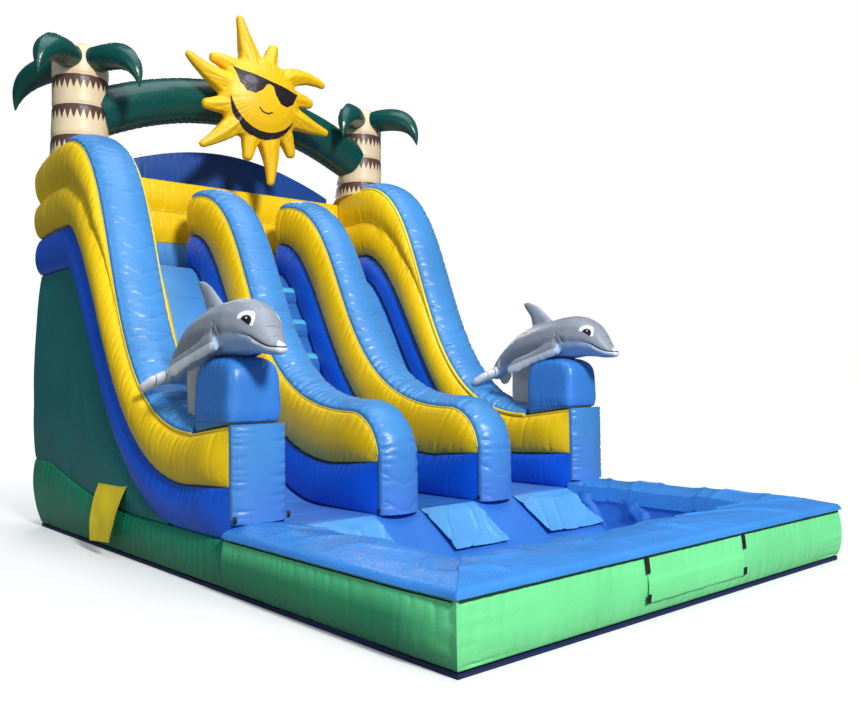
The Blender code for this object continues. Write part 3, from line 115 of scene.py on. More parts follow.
lamps = {
    "key": {"place": (-4.6, -21.4, 14.6), "size": 3.4, "power": 6900, "colour": (1.0, 0.985, 0.95)},
    "side": {"place": (-17.0, -5.0, 7.0), "size": 8.0, "power": 420, "colour": (0.75, 0.88, 1.0)},
    "back": {"place": (5.0, 18.0, 11.0), "size": 8.0, "power": 1500, "colour": (1.0, 1.0, 1.0)},
    "top": {"place": (0.0, -1.0, 16.0), "size": 11.0, "power": 1000, "colour": (0.86, 0.94, 1.0)},
    "aim": (0.0, 0.0, 2.0), "sky": 0.26, "skyGlossy": 0.11, "skyColour": (0.66, 0.82, 1.0),
}
stage = {
    "size": 160, "floor": (0.86, 0.86, 0.86), "bounce": (0.22, 0.23, 0.22), "glow": 1.04,
    "footprint": (2.36, 3.66, 0.0), "glowShare": ((0.0, 0.12), (1.0, 1.0), (0.10, 0.60)), "reach": 8.0,
}


def addLights():
    for name in ("key", "side", "back", "top"):
        lamp = lamps[name]
        bpy.ops.object.light_add(type="AREA", location=lamp["place"])
        light = bpy.context.object
        light.name = name + "Light"
        light.data.size = lamp["size"]
        light.data.energy = lamp["power"]
        light.data.color = lamp["colour"]
        away = Vector(lamps["aim"]) - Vector(lamp["place"])
        light.rotation_euler = away.to_track_quat("-Z", "Y").to_euler()
    world = bpy.context.scene.world or bpy.data.worlds.new("studio")
    bpy.context.scene.world = world
    world.use_nodes = True
    tree = world.node_tree
    back = tree.nodes["Background"]
    ray = addNode(tree, "LightPath").outputs
    tint = blendColours(tree, ray["Is Camera Ray"], lamps["skyColour"], (1, 1, 1))
    glossy = mapRange(tree, ray["Is Glossy Ray"], 0.0, 1.0, lamps["sky"], lamps["skyGlossy"])
    strength = mapRange(tree, ray["Is Camera Ray"], 0.0, 1.0, glossy, 1.0)
    tree.links.new(tint, back.inputs["Color"])
    tree.links.new(strength, back.inputs["Strength"])


# pale floor, white to the camera far out, with the object's soft shadow near it
def addFloor():
    bpy.ops.mesh.primitive_plane_add(size=stage["size"], location=(0, 0, -0.001))
    floor = bpy.context.object
    floor.name = "studioFloor"
    material = bpy.data.materials.new("paleFloor")
    material.use_nodes = True
    tree = material.node_tree
    tree.nodes.clear()
    camera = addNode(tree, "LightPath").outputs["Is Camera Ray"]
    shown = blendColours(tree, camera, stage["bounce"], stage["floor"])
    matt = addNode(tree, "BsdfDiffuse", {"Color": shown}).outputs[0]
    glow = addNode(tree, "Emission", {"Strength": stage["glow"]}).outputs[0]
    spot = vectors(tree, "ABSOLUTE", addNode(tree, "TexCoord").outputs["Object"])[0]
    outside = vectors(tree, "MAXIMUM", vectors(tree, "SUBTRACT", spot, stage["footprint"])[0])[0]
    away = vectors(tree, "LENGTH", outside)["Value"]
    fade = addNode(tree, "ValToRGB", {0: sums(tree, "DIVIDE", away, stage["reach"])})
    fade.color_ramp.interpolation = "EASE"
    for number, (reached, glowing) in enumerate(stage["glowShare"]):
        stop = fade.color_ramp.elements[number] if number < 2 else fade.color_ramp.elements.new(reached)
        stop.position = reached
        stop.color = (glowing, glowing, glowing, 1)
    share = sums(tree, "MULTIPLY", camera, fade.outputs["Color"])
    mix = addNode(tree, "MixShader", {0: share, 1: matt, 2: glow}).outputs[0]
    addNode(tree, "OutputMaterial", {0: mix})
    floor.data.materials.append(material)


bpy.context.scene.view_settings.view_transform = "Standard"
addCamera()
addLights()
addFloor()
print("camera, lights and floor ready")


# finishes

colours = {
    # the back panel's navy is its deep blue cloth darkened as painted shade
    "lightBlue": (68, 138, 204), "deepBlue": (6, 90, 222), "navy": (2, 68, 154), "yellow": (250, 204, 0),
    "teal": (3, 122, 120), "palmGreen": (2, 74, 68), "leafGreen": (14, 140, 102), "poolGreen": (116, 226, 150),
    # the pool side walls' green is the pool green darkened as painted shade
    "sideGreen": (30, 150, 98), "beige": (236, 212, 174), "brown": (88, 62, 56), "grey": (146, 152, 164),
    # the dolphin belly is paler than the grey body; its blue tint is painted sky light
    "belly": (160, 184, 214), "pale": (206, 202, 190), "white": (236, 238, 240), "black": (12, 12, 16),
    # the climbing lane's blue is darkened as painted shade
    "sheetBlue": (60, 134, 214), "cyan": (84, 178, 214), "rampBlueShaded": (44, 108, 184),
    # the ground sheet's navy is darkened almost to black as painted shade under the walls
    "tabYellow": (255, 218, 24), "sheetNavy": (6, 26, 78),
}


seamLook = {
    "edge": 0.012, "stitch": 0.021, "thread": (0.0014, 0.0026), "pitch": 0.014, "bump": 0.0012,
    "pulls": (24.0, 5.0), "pullReach": 0.10, "pullDepth": 0.008,
}


# coated cloth: soft tone changes, fine scrim, small wrinkles, a welded edge with stitches, scuffs
def vinyl(name, colour, rough=0.34, seams=True, wear=0.5, paint=None, wrinkle=1.0, grime=0.0):
    material = bpy.data.materials.new(name)
    material.use_nodes = True
    tree = material.node_tree
    shader = tree.nodes["Principled BSDF"]
    base = toLinear(colours[colour] if isinstance(colour, str) else colour)
    place = addNode(tree, "TexCoord").outputs["Object"]
    broad = noise(tree, place, 1.1, 3.0, roughness=0.55)
    fine = noise(tree, place, 42.0, 4.0, roughness=0.6)
    darker = tuple(c * 0.86 for c in base)
    lighter = tuple(min(1.0, c * 1.08 + 0.002) for c in base)
    shown = blendColours(tree, mapRange(tree, broad, 0.3, 0.7), darker, lighter)
    if paint:
        shown = paint(tree, place, shown)
    speck = mapRange(tree, fine, 0.62, 0.8, 0.0, 0.016 * wear)
    shown = blendColours(tree, speck, shown, (0.75, 0.77, 0.78))
    if grime:
        height = addNode(tree, "SeparateXYZ", {0: place}).outputs["Z"]
        low = sums(tree, "MULTIPLY", mapRange(tree, height, 0.0, grime, 0.42, 0.0), fine)
        shown = blendColours(tree, low, shown, (0.12, 0.11, 0.09))
    lift = None
    if seams:
        shown, lift = seamDetail(tree, base, shown, wrinkle)
    creases = noise(tree, place, 5.5, 4.0, roughness=0.5, distortion=1.4)
    crease = sums(tree, "ABSOLUTE", sums(tree, "SUBTRACT", creases, 0.5))
    crease = sums(tree, "MULTIPLY", mapRange(tree, crease, 0.0, 0.05, -1.0, 0.0), 0.0009 * wrinkle)
    lift = crease if lift is None else sums(tree, "ADD", lift, crease)
    scrim = addNode(tree, "TexVoronoi", {"Vector": place, "Scale": 520.0}, feature="F1").outputs["Distance"]
    lift = sums(tree, "ADD", lift, sums(tree, "MULTIPLY", scrim, 0.00008))
    bump = addNode(tree, "Bump", {"Height": lift, "Strength": 0.75, "Distance": 1.0}).outputs[0]
    tree.links.new(bump, shader.inputs["Normal"])
    tree.links.new(mapRange(tree, fine, 0.3, 0.7, rough - 0.06, rough + 0.10), shader.inputs["Roughness"])
    tree.links.new(shown, shader.inputs["Base Color"])
    return material


# welded edge darkened, partly dirt and partly painted shade in its groove, a row of stitches and the cloth's
# short pulls beside it
def seamDetail(tree, base, shown, wrinkle):
    gap, run = field(tree, "seam"), field(tree, "run")
    # the welded edge is darkened: partly dirt, partly painted shade in the groove
    edge = mapRange(tree, gap, 0.0, seamLook["edge"], 0.55, 0.0)
    shown = blendColours(tree, edge, shown, tuple(c * 0.45 for c in base))
    row = sums(tree, "ABSOLUTE", sums(tree, "SUBTRACT", gap, seamLook["stitch"]))
    row = mapRange(tree, row, *seamLook["thread"], 1.0, 0.0)
    wave = sums(tree, "SINE", sums(tree, "MULTIPLY", run, 6.2832 / seamLook["pitch"]))
    thread = sums(tree, "MULTIPLY", row, sums(tree, "GREATER_THAN", wave, -0.35))
    bright = tuple(min(1.0, c * 1.5 + 0.10) for c in base)
    shown = blendColours(tree, sums(tree, "MULTIPLY", thread, 0.45), shown, bright)
    near = mapRange(tree, gap, 0.0, seamLook["pullReach"], 1.0, 0.03)
    along, across = (sums(tree, "MULTIPLY", way, size) for way, size in zip((run, gap), seamLook["pulls"]))
    pulls = noise(tree, addNode(tree, "CombineXYZ", {0: along, 1: across}).outputs[0], 1.0, distortion=0.3)
    lift = sums(tree, "MULTIPLY", pulls, sums(tree, "MULTIPLY", near, seamLook["pullDepth"] * wrinkle))
    return shown, sums(tree, "ADD", lift, sums(tree, "MULTIPLY", thread, seamLook["bump"]))


# smooth irregular lines and fields, the same in every run

def smoothNoise(x, seed):
    table = np.random.default_rng(seed).uniform(-1, 1, 509)
    cell = np.floor(x).astype(int)
    f = x - cell
    f = f * f * (3 - 2 * f)
    return table[cell % 509] * (1 - f) + table[(cell + 1) % 509] * f


def smoothField(x, y, seed):
    table = np.random.default_rng(seed).uniform(-1, 1, (61, 67))
    i = np.floor(x).astype(int)
    j = np.floor(y).astype(int)
    f = x - i
    g = y - j
    f = f * f * (3 - 2 * f)
    g = g * g * (3 - 2 * g)
    low = table[i % 61, j % 67] * (1 - f) + table[(i + 1) % 61, j % 67] * f
    high = table[i % 61, (j + 1) % 67] * (1 - f) + table[(i + 1) % 61, (j + 1) % 67] * f
    return low * (1 - g) + high * g


# short folds that run away from a seam, deepest a little way from it
def puckers(run, gap, depth, pitch, reach, seed):
    warped = run / pitch + 0.8 * smoothNoise(run / pitch * 0.45, seed)
    away = np.abs(np.mod(warped, 1.0) * 2 - 1)
    strength = 0.62 + 0.38 * smoothNoise(np.floor(warped) * 1.37, seed + 1)
    length = reach * (0.75 + 0.45 * smoothNoise(np.floor(warped) * 1.91, seed + 2))
    share = gap / (length * 0.35)
    return -depth * strength * np.exp(-(away / 0.42) ** 2) * share * np.exp(1 - share)


# narrow creases right across a strip, where an inner baffle holds it
def baffles(run, gap, depth, pitch, width, seed):
    warped = run / pitch + 0.18 * smoothNoise(run / pitch * 0.7, seed)
    away = (np.mod(warped, 1.0) - 0.5) * pitch
    strength = 0.7 + 0.3 * smoothNoise(np.floor(warped) * 2.3, seed + 3)
    return -depth * strength * np.exp(-(away / width) ** 2) * np.minimum(1.0, gap / 0.03) * np.exp(-gap / 0.30)


# skins: the outside of a block in three directions u, v and w, or a grid in two

def spaced(count, crowd=0.7):
    x = np.linspace(0, 1, count + 1)
    return x - crowd * np.sin(2 * math.pi * x) / (2 * math.pi)


def meshFrom(name, verts, faces, fields=None):
    mesh = bpy.data.meshes.new(name)
    mesh.from_pydata(verts, [], faces)
    for key, values in (fields or {}).items():
        layer = mesh.attributes.new(key, "FLOAT", "POINT")
        layer.data.foreach_set("value", np.asarray(values, np.float32))
    bm = bmesh.new()
    bm.from_mesh(mesh)
    bmesh.ops.remove_doubles(bm, verts=bm.verts, dist=0.00002)
    bmesh.ops.dissolve_degenerate(bm, edges=bm.edges, dist=0.00001)
    bmesh.ops.recalc_face_normals(bm, faces=bm.faces)
    bm.to_mesh(mesh)
    bm.free()
    obj = bpy.data.objects.new(name, mesh)
    bpy.context.scene.collection.objects.link(obj)
    return obj


# faces between the rows and columns of a grid of vertex numbers
def quadsOf(index):
    return np.stack([index[:-1, :-1], index[1:, :-1], index[1:, 1:], index[:-1, 1:]], axis=-1).reshape(-1, 4)


def flatSpots(shape, x, y, z):
    return np.stack([np.broadcast_to(c, shape) for c in (x, y, z)], axis=-1).reshape(-1, 3)


def blockSkin(name, counts, place, leaveOut=()):
    marks = [spaced(counts[0], 0.0), spaced(counts[1]), spaced(counts[2])]
    verts, faces, seam, run = [], [], [], []
    start = 0
    for axis in range(3):
        for end in (0.0, 1.0):
            if (axis, end) in leaveOut:
                continue
            first, second = [a for a in range(3) if a != axis]
            a, b = np.meshgrid(marks[first], marks[second], indexing="ij")
            spot = [None, None, None]
            spot[axis] = np.full_like(a, end)
            spot[first] = a
            spot[second] = b
            x, y, z, gap, length = place(*spot)
            verts.append(flatSpots(a.shape, x, y, z))
            seam.append(np.broadcast_to(gap, a.shape).ravel())
            run.append(np.broadcast_to(length, a.shape).ravel())
            faces.append(quadsOf(start + np.arange(a.size).reshape(a.shape)))
            start += a.size
    return meshFrom(name, np.concatenate(verts).tolist(), np.concatenate(faces).tolist(),
                    {"seam": np.concatenate(seam), "run": np.concatenate(run)})


def gridSkin(name, counts, place):
    u, v = np.meshgrid(*(np.linspace(0, 1, count + 1) for count in counts), indexing="ij")
    x, y, z, gap, length = place(u, v)
    quads = quadsOf(np.arange(u.size).reshape(u.shape))
    fields = {"seam": np.broadcast_to(gap, u.shape).ravel(), "run": np.broadcast_to(length, u.shape).ravel()}
    return meshFrom(name, flatSpots(u.shape, x, y, z).tolist(), quads.tolist(), fields)


def useTool(obj):
    bpy.ops.object.select_all(action="DESELECT")
    bpy.context.view_layer.objects.active = obj
    obj.select_set(True)


def sided(name, side):
    return name + ("Left" if side < 0 else "Right")


# "railFootLeft" is the piece that stands for the node "rail_foot_left"
def nodeName(name):
    return "".join("_" + letter.lower() if letter.isupper() else letter for letter in name)


def dress(obj, material, nodes=None, body="slide"):
    obj.data.materials.clear()
    obj.data.materials.append(material)
    useTool(obj)
    bpy.ops.object.shade_smooth_by_angle(angle=math.radians(50))
    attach(obj, body)
    nodes = [nodeName(obj.name)] if nodes is None else nodes
    if nodes:
        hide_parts(*nodes)


def skin(name, counts, place, material, nodes=None):
    dress(blockSkin(name, counts, place), material, nodes)


def thicken(obj, thickness, offset=1.0):
    useTool(obj)
    solid = obj.modifiers.new("thickness", "SOLIDIFY")
    solid.thickness = thickness
    solid.offset = offset
    bpy.ops.object.modifier_apply(modifier=solid.name)
    return obj


# a copy of a solid, merged, made even by a remesh and smoothed
def copyNode(name, voxel, passes, node=None):
    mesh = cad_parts[node or nodeName(name)].data.copy()
    obj = bpy.data.objects.new(name, mesh)
    bpy.context.scene.collection.objects.link(obj)
    useTool(obj)
    bpy.ops.object.mode_set(mode="EDIT")
    bpy.ops.mesh.select_all(action="SELECT")
    bpy.ops.mesh.remove_doubles(threshold=0.00005)
    bpy.ops.object.mode_set(mode="OBJECT")
    even = obj.modifiers.new("even", "REMESH")
    even.mode = "VOXEL"
    even.voxel_size = voxel
    bpy.ops.object.modifier_apply(modifier=even.name)
    soft = obj.modifiers.new("soft", "SMOOTH")
    soft.iterations = passes
    soft.factor = 0.5
    bpy.ops.object.modifier_apply(modifier=soft.name)
    return obj


def points(obj):
    co = np.empty(len(obj.data.vertices) * 3)
    obj.data.vertices.foreach_get("co", co)
    return co.reshape(-1, 3)


def normals(obj):
    no = np.empty(len(obj.data.vertices) * 3)
    obj.data.vertex_normals.foreach_get("vector", no)
    return no.reshape(-1, 3)


def setPoints(obj, co):
    obj.data.vertices.foreach_set("co", np.asarray(co, float).ravel())
    obj.data.update()


def pushOut(obj, amount):
    setPoints(obj, points(obj) + normals(obj) * amount[:, None])


def setField(obj, name, values):
    layer = obj.data.attributes.get(name) or obj.data.attributes.new(name, "FLOAT", "POINT")
    layer.data.foreach_set("value", np.asarray(values, np.float32))


# the lines that the tower is built on, as (y, z) from the rear to the front

tower = {
    "rear": 3.60, "lip": (2.70, 3.05), "toe": (-0.10, 0.46), "front": -0.958, "deck": 3.05,
    "bedDrop": (0.0398, 0.10), "baseTop": (0.42, 0.78), "baseRise": (0.58, 3.30), "swell": 0.25,
    "crest": (2.78, 4.35), "rearTop": 4.23, "railToe": (-0.31, 1.235), "block": 1.318,
    "dividerTop": (2.70, 3.90), "noseTop": (-0.55, 1.37), "noseRadius": 0.42,
    "band": 0.535, "humpBand": 0.667, "humpLobe": 0.326, "lobeTip": 0.03,
    "rail": (2.30, 1.80), "divider": (0.835, 0.400), "gap": 0.0006,
}
rearCount, slopeCount, frontCount = 50, 380, 60


def cubic(a, b, c, d, count):
    t = np.linspace(0, 1, count)[:, None]
    return a * (1 - t) ** 3 + b * 3 * (1 - t) ** 2 * t + c * 3 * (1 - t) * t * t + d * t ** 3


def slopeLine(top, bottom, upShare, downShare):
    run = top[0] - bottom[0]
    a, d = np.array(top), np.array(bottom)
    return cubic(a, a - (run * upShare, 0), d + (run * downShare, 0), d, slopeCount + 1)


def straight(a, b, count):
    t = np.linspace(0, 1, count + 1)[1:, None]
    return np.array(a) * (1 - t) + np.array(b) * t


def easeStep(x):
    x = np.clip(x, 0, 1)
    return x * x * (3 - 2 * x)


def makeLines():
    rear, front = tower["rear"], tower["front"]
    back = np.linspace(0, 1, rearCount + 1)[:-1, None]
    lip, crest = np.array(tower["lip"]), np.array(tower["crest"])
    bedRear = np.array([[rear, tower["deck"]]]) * (1 - back) + lip * back
    bedSlope = slopeLine(tower["lip"], tower["toe"], 0.20, 0.60)
    bed = np.concatenate([bedRear, bedSlope, straight(tower["toe"], (front, tower["toe"][1]), frontCount)])
    railRear = np.array([[rear, 0.0]]) * (1 - back) + np.array([[crest[0], 0.0]]) * back
    behind = (railRear[:, 0] - crest[0]) / (rear - crest[0])
    railRear[:, 1] = crest[1] - (crest[1] - tower["rearTop"]) * behind ** 2.6
    railSlope = slopeLine(tower["crest"], tower["railToe"], 0.50, 0.70)
    railFront = straight(tower["railToe"], (front, tower["block"]), frontCount)
    rail = np.concatenate([railRear, railSlope, railFront])
    share = (bed[:, 1] - tower["toe"][1]) / (tower["deck"] - tower["toe"][1])
    foot = bed.copy()
    foot[:, 1] -= tower["bedDrop"][0] + (tower["bedDrop"][1] - tower["bedDrop"][0]) * share
    nose = slopeLine(tower["dividerTop"], tower["noseTop"], 0.50, 0.70)
    angle = np.linspace(0, math.pi / 2, frontCount + 1)[1:]
    radius = tower["noseRadius"]
    middle = (tower["noseTop"][0], tower["noseTop"][1] - radius)
    arc = np.stack([middle[0] - np.sin(angle) * radius, middle[1] + np.cos(angle) * radius], axis=1)
    return bed, rail, foot, np.concatenate([nose, arc])


bedLine, railLine, footLine, dividerLine = makeLines()
stationCount = len(railLine)


def humpShares(low, high):
    t = np.clip((np.arange(stationCount) - rearCount) / slopeCount, 0, 1)
    return (low + (high - low) * easeStep((0.62 - t) / 0.55))[:, None]


bandLine = railLine + (footLine - railLine) * humpShares(tower["band"], tower["humpBand"])
lobeLine = railLine + (footLine - railLine) * humpShares(tower["lobeTip"], tower["humpLobe"])
dividerBand = dividerLine + (bedLine[rearCount:] - dividerLine) * tower["band"]
dividerTip = (tower["front"] + 0.004, 0.935)
dividerEnd = straight(dividerBand[slopeCount], dividerTip, frontCount)
dividerBand = np.concatenate([dividerBand[:slopeCount + 1], dividerEnd])


def runAlong(line):
    steps = np.linalg.norm(np.diff(line, axis=0), axis=1)
    return np.concatenate([[0.0], np.cumsum(steps)])


# value at a share of the line's stations
def at(line, u):
    spots = np.linspace(0, 1, len(line))
    if line.ndim == 1:
        return np.interp(u, spots, line)
    return np.interp(u, spots, line[:, 0]), np.interp(u, spots, line[:, 1])


# how sharply a line bends, in radians a metre, smoothed, negative where it is hollow
def bending(line, width=14):
    step = np.gradient(line, axis=0)
    angle = np.unwrap(np.arctan2(step[:, 1], -step[:, 0]))
    turn = np.gradient(angle) / np.maximum(np.linalg.norm(step, axis=1), 1e-6)
    kernel = np.hanning(2 * width + 1)
    return -np.convolve(np.pad(turn, width, mode="edge"), kernel / kernel.sum(), mode="valid")


def lineNormals(line):
    step = np.gradient(line, axis=0)
    normal = np.stack([step[:, 1], -step[:, 0]], axis=1)
    return normal / np.linalg.norm(normal, axis=1)[:, None]


# x across a wall, w 0 on its outer side and 1 on its inner one
def acrossWall(key):
    outer, inner = tower[key]
    return lambda side, w: side * (outer - (outer - inner) * w)


railX, dividerX = acrossWall("rail"), acrossWall("divider")
capLine = railLine[rearCount:]
capLine = capLine[capLine[:, 0] > -0.309]
laneTop, laneFoot = bedLine[rearCount:], footLine[rearCount:]


# 0 at both ends and 1 in the middle, steep at the ends
def archedShare(share):
    return np.abs(np.sin(math.pi * share)) ** 0.7


# the same with a round, elliptical rise
def roundShare(share):
    return np.sqrt(np.clip(4 * share * (1 - share), 0, 1))


# outside of an air chamber between two lines; w runs from the outer side to the inner one
def chamberPlace(upper, lower, side, xOf, look, lobe=None, deck=None, fade=None, innerFade=None):
    run = runAlong((upper + lower) / 2)
    turn = np.abs(bending((upper + lower) / 2))
    tall = np.linalg.norm(lower - upper, axis=1)
    seed = look["seed"] + (7 if side > 0 else 0)
    fadeLine = np.ones(len(upper)) if fade is None else fade
    innerLine = fadeLine if innerFade is None else innerFade
    if lobe is not None:
        crease = np.linalg.norm(lobe - upper, axis=1) / np.maximum(tall, 1e-4)
    if deck is not None:
        overDeck = upper[:, 1] - deck[:, 1] - 0.001
        span = np.clip(overDeck / np.maximum(upper[:, 1] - lower[:, 1], 1e-4), 0.05, 1.0)

    def place(u, v, w):
        ty, tz = at(upper, u)
        ly, lz = at(lower, u)
        height = at(tall, u)
        s = at(run, u)
        bend = np.minimum(1.0, at(turn, u) / 1.2)
        inner = w > 0.5
        down = v
        if deck is not None:
            down = np.where(inner, np.clip(v / at(span, u), 0, 1), v)
        if lobe is not None:
            c = np.clip(at(crease, u), 0.02, 0.98)
            upperPart = down < c
            local = np.where(upperPart, down / c, (down - c) / (1 - c))
            tallHere = np.where(upperPart, height * c, height * (1 - c))
        else:
            local = down
            tallHere = height
        gap = np.minimum(local, 1 - local) * tallHere
        size = np.minimum(1.0, tallHere / 0.22)
        swell = look["bulge"] * roundShare(local) * size
        swell = swell * (1 + look.get("lobe", 0.0) * np.clip((tallHere - 0.34) / 0.25, 0, 1))
        depth, pitch, reach = look["fold"] * (1 + 1.6 * bend), look["pitch"], look["reach"]
        folds = puckers(s, local * tallHere, depth, pitch, reach, seed)
        folds += puckers(s + 3.7, (1 - local) * tallHere, depth, pitch * 1.15, reach, seed + 11)
        folds *= np.minimum(1.0, size)
        if look.get("baffle"):
            folds += baffles(s, gap, look["baffle"], look["bafflePitch"], 0.012, seed + 5) * size
        broad = 0.006 * smoothField(s / 0.42, v * height / 0.3 + 9 * inner, seed + 8)
        folds += broad * np.sin(math.pi * np.clip(local, 0, 1)) * size
        out = (swell + folds) * np.where(inner, at(innerLine, u), at(fadeLine, u))
        y = ty + (ly - ty) * v
        z = tz - tower["gap"] + (lz - tz + 2 * tower["gap"]) * v
        x = xOf(side, w) + side * (1 - 2 * w) * out
        rearFace = (u == 0.0) * look.get("rearBulge", 0.0)
        y = y + rearFace * archedShare(w) * archedShare(local)
        return x, y, z, np.where(gap < 0, 0, gap), s
    return place


# outside of a crowned strip that lies on a line
def capPlace(line, side, xOf, look, upright=False):
    run = runAlong(line)
    turn = bending(line)
    normal = lineNormals(line)
    if upright:
        share = easeStep((np.arange(len(line)) - len(line) + 14) / 13)[:, None]
        normal = normal * (1 - share) + np.array([[0.0, 1.0]]) * share
    seed = look["seed"] + (5 if side > 0 else 0)
    width = abs(xOf(1, 0.0) - xOf(1, 1.0))

    def place(u, v, w):
        py, pz = at(line, u)
        ny, nz = at(normal, u)
        s = at(run, u)
        bend = at(turn, u)
        hollow = np.clip(-bend / 0.9, 0, 1)
        full = np.clip(bend / 0.9, 0, 1)
        gap = np.minimum(w, 1 - w) * width
        crown = look["crown"] * roundShare(w)
        depth, pitch, reach = look["fold"] * (1 + 1.2 * full + 2.2 * hollow), look["pitch"], look["reach"]
        folds = puckers(s, w * width, depth, pitch, reach, seed)
        folds += puckers(s + 1.9, (1 - w) * width, depth, pitch * 1.1, reach, seed + 17)
        bowed = s + 0.05 * np.cos(math.pi * w * 2)
        folds += baffles(bowed, gap, look["baffle"] * (1 + 1.5 * hollow), look["bafflePitch"], 0.013, seed + 4)
        folds += 0.005 * smoothField(s / 0.35, w * 2.2, seed + 9) * np.sin(math.pi * w)
        ripple = np.mod(s / 0.13 + 0.3 * smoothNoise(s * 3, seed), 1.0) - 0.5
        folds -= hollow * 0.016 * np.exp(-(ripple * 0.13 / 0.016) ** 2) * np.sin(math.pi * w)
        lift = 0.012 + (crown + folds)
        lift = tower["gap"] + (lift - tower["gap"]) * (1 - v)
        return xOf(side, w), py + ny * lift, pz + nz * lift, gap, s
    return place


# outer rails

# painted shade: the pale blue turns darker and a little towards violet low down
def paintLowShade(tree, place, shown):
    height = addNode(tree, "SeparateXYZ", {0: place}).outputs["Z"]
    return blendColours(tree, mapRange(tree, height, 0.40, 1.15, 0.62, 0.0), shown, toLinear((74, 112, 206)))


vinylLightBlue = vinyl("vinylLightBlue", "lightBlue", paint=paintLowShade)
vinylDeepBlue = vinyl("vinylDeepBlue", "deepBlue")
vinylYellow = vinyl("vinylYellow", "yellow")
vinylTeal = vinyl("vinylTeal", "teal", rough=0.42)

railLook = {
    "foot": {"bulge": 0.070, "fold": 0.0095, "pitch": 0.105, "reach": 0.14, "seed": 11,
             "rearBulge": 0.07, "lobe": 0.5},
    "band": {"bulge": 0.074, "fold": 0.0085, "pitch": 0.100, "reach": 0.12, "seed": 23,
             "rearBulge": 0.08, "lobe": 0.7, "baffle": 0.010, "bafflePitch": 0.31},
    "cap": {"crown": 0.108, "fold": 0.0105, "pitch": 0.095, "reach": 0.13, "seed": 31,
            "baffle": 0.016, "bafflePitch": 0.29},
    "wall": {"bulge": 0.045, "fold": 0.006, "pitch": 0.12, "reach": 0.16, "seed": 41},
    "front": (tower["front"] - 0.0002, 1.3298, 0.545),
    "panel": {"crown": 0.090, "fold": 0.0120, "pitch": 0.075, "reach": 0.13, "seed": 53,
              "baffle": 0.0, "bafflePitch": 0.3},
}


def makeRail(side):
    last = frontCount * 0.55
    fade = 1 - np.clip((np.arange(stationCount) - (stationCount - 1 - last)) / last, 0, 1) ** 2.0
    inner = fade.copy()
    inner[:int(rearCount * 0.42)] = 0.0
    foot = chamberPlace(bandLine, footLine, side, railX, railLook["foot"],
                        deck=bedLine, fade=fade, innerFade=inner)
    skin(sided("railFoot", side), (420, 13, 2), foot, vinylDeepBlue)
    band = chamberPlace(railLine, bandLine, side, railX, railLook["band"],
                        lobe=lobeLine, fade=fade, innerFade=inner)
    skin(sided("railBand", side), (400, 22, 5), band, vinylYellow)
    cap = capPlace(capLine, side, railX, railLook["cap"], upright=True)
    skin(sided("railCap", side), (390, 1, 24), cap, vinylLightBlue)
    front, high, low = railLook["front"]
    line = np.concatenate([[[front, high]], straight((front, high), (front, low), 90)])
    panel = capPlace(line, side, railX, railLook["panel"])
    skin(sided("railFront", side), (90, 1, 40), panel, vinylLightBlue)


# height of the air mattress's top, which rises towards the rear
def baseTop(y):
    (low, high), (near, far) = tower["baseTop"], tower["baseRise"]
    share = np.clip((y - near) / (far - near), 0, 1)
    return low + (high - low) * share * share


# how far the rear stands out at a height, most where the mattress meets the rear wall
def rearSwell(z):
    ridge = tower["baseTop"][1]
    low = tower["swell"] * np.sin(math.pi / 2 * np.clip(z / ridge, 0, 1))
    high = tower["swell"] * np.cos(math.pi / 2 * np.clip((z - ridge) / (tower["deck"] - ridge), 0, 1))
    return np.where(z < ridge, low, high)


wallTop = footLine[footLine[:, 1] - baseTop(footLine[:, 0]) > 0.02]
wallFoot = np.stack([wallTop[:, 0], baseTop(wallTop[:, 0])], axis=1)


def makeSideWall(side):
    inside = chamberPlace(wallTop, wallFoot, side, railX, railLook["wall"], innerFade=np.zeros(len(wallTop)))

    def place(u, v, w):
        x, y, z, gap, s = inside(u, v, w)
        y = y + (u == 0.0) * rearSwell(z)
        near = easeStep((y - 3.2) / 0.4) * (u > 0)
        return x, y + near * rearSwell(z), z, gap, s
    skin(sided("sideWall", side), (300, 32, 3), place, vinylTeal)


for side in (-1, 1):
    makeRail(side)
    makeSideWall(side)
print("rails and side walls done")


# dividers

dividerLook = {
    "foot": {"bulge": 0.072, "fold": 0.0110, "pitch": 0.095, "reach": 0.15, "seed": 61},
    "band": {"bulge": 0.072, "fold": 0.0085, "pitch": 0.095, "reach": 0.12, "seed": 67,
             "baffle": 0.009, "bafflePitch": 0.30},
    "cap": {"crown": 0.108, "fold": 0.0110, "pitch": 0.085, "reach": 0.13, "seed": 71,
            "baffle": 0.015, "bafflePitch": 0.27},
}


def makeDivider(side):
    share = np.clip((np.arange(len(dividerLine)) - slopeCount) / frontCount, 0, 1)
    fade = 1 - share ** 2.4
    foot = chamberPlace(dividerBand, laneTop, side, dividerX, dividerLook["foot"], fade=fade)
    skin(sided("dividerFoot", side), (440, 14, 4), foot, vinylDeepBlue)
    band = chamberPlace(dividerLine, dividerBand, side, dividerX, dividerLook["band"], fade=fade)
    skin(sided("dividerBand", side), (440, 16, 4), band, vinylYellow)
    strip = np.concatenate([dividerLine, straight(dividerLine[-1], (-0.97, 0.4606), 50)])
    cap = capPlace(strip, side, dividerX, dividerLook["cap"])
    skin(sided("dividerCap", side), (420, 1, 24), cap, vinylLightBlue)


for side in (-1, 1):
    makeDivider(side)
print("dividers done")


# base, core, rear wall, deck and back of the platform

vinylLeaf = vinyl("vinylLeafGreen", "leafGreen", grime=0.30)
vinylPool = vinyl("vinylPoolGreen", "poolGreen", grime=0.22)


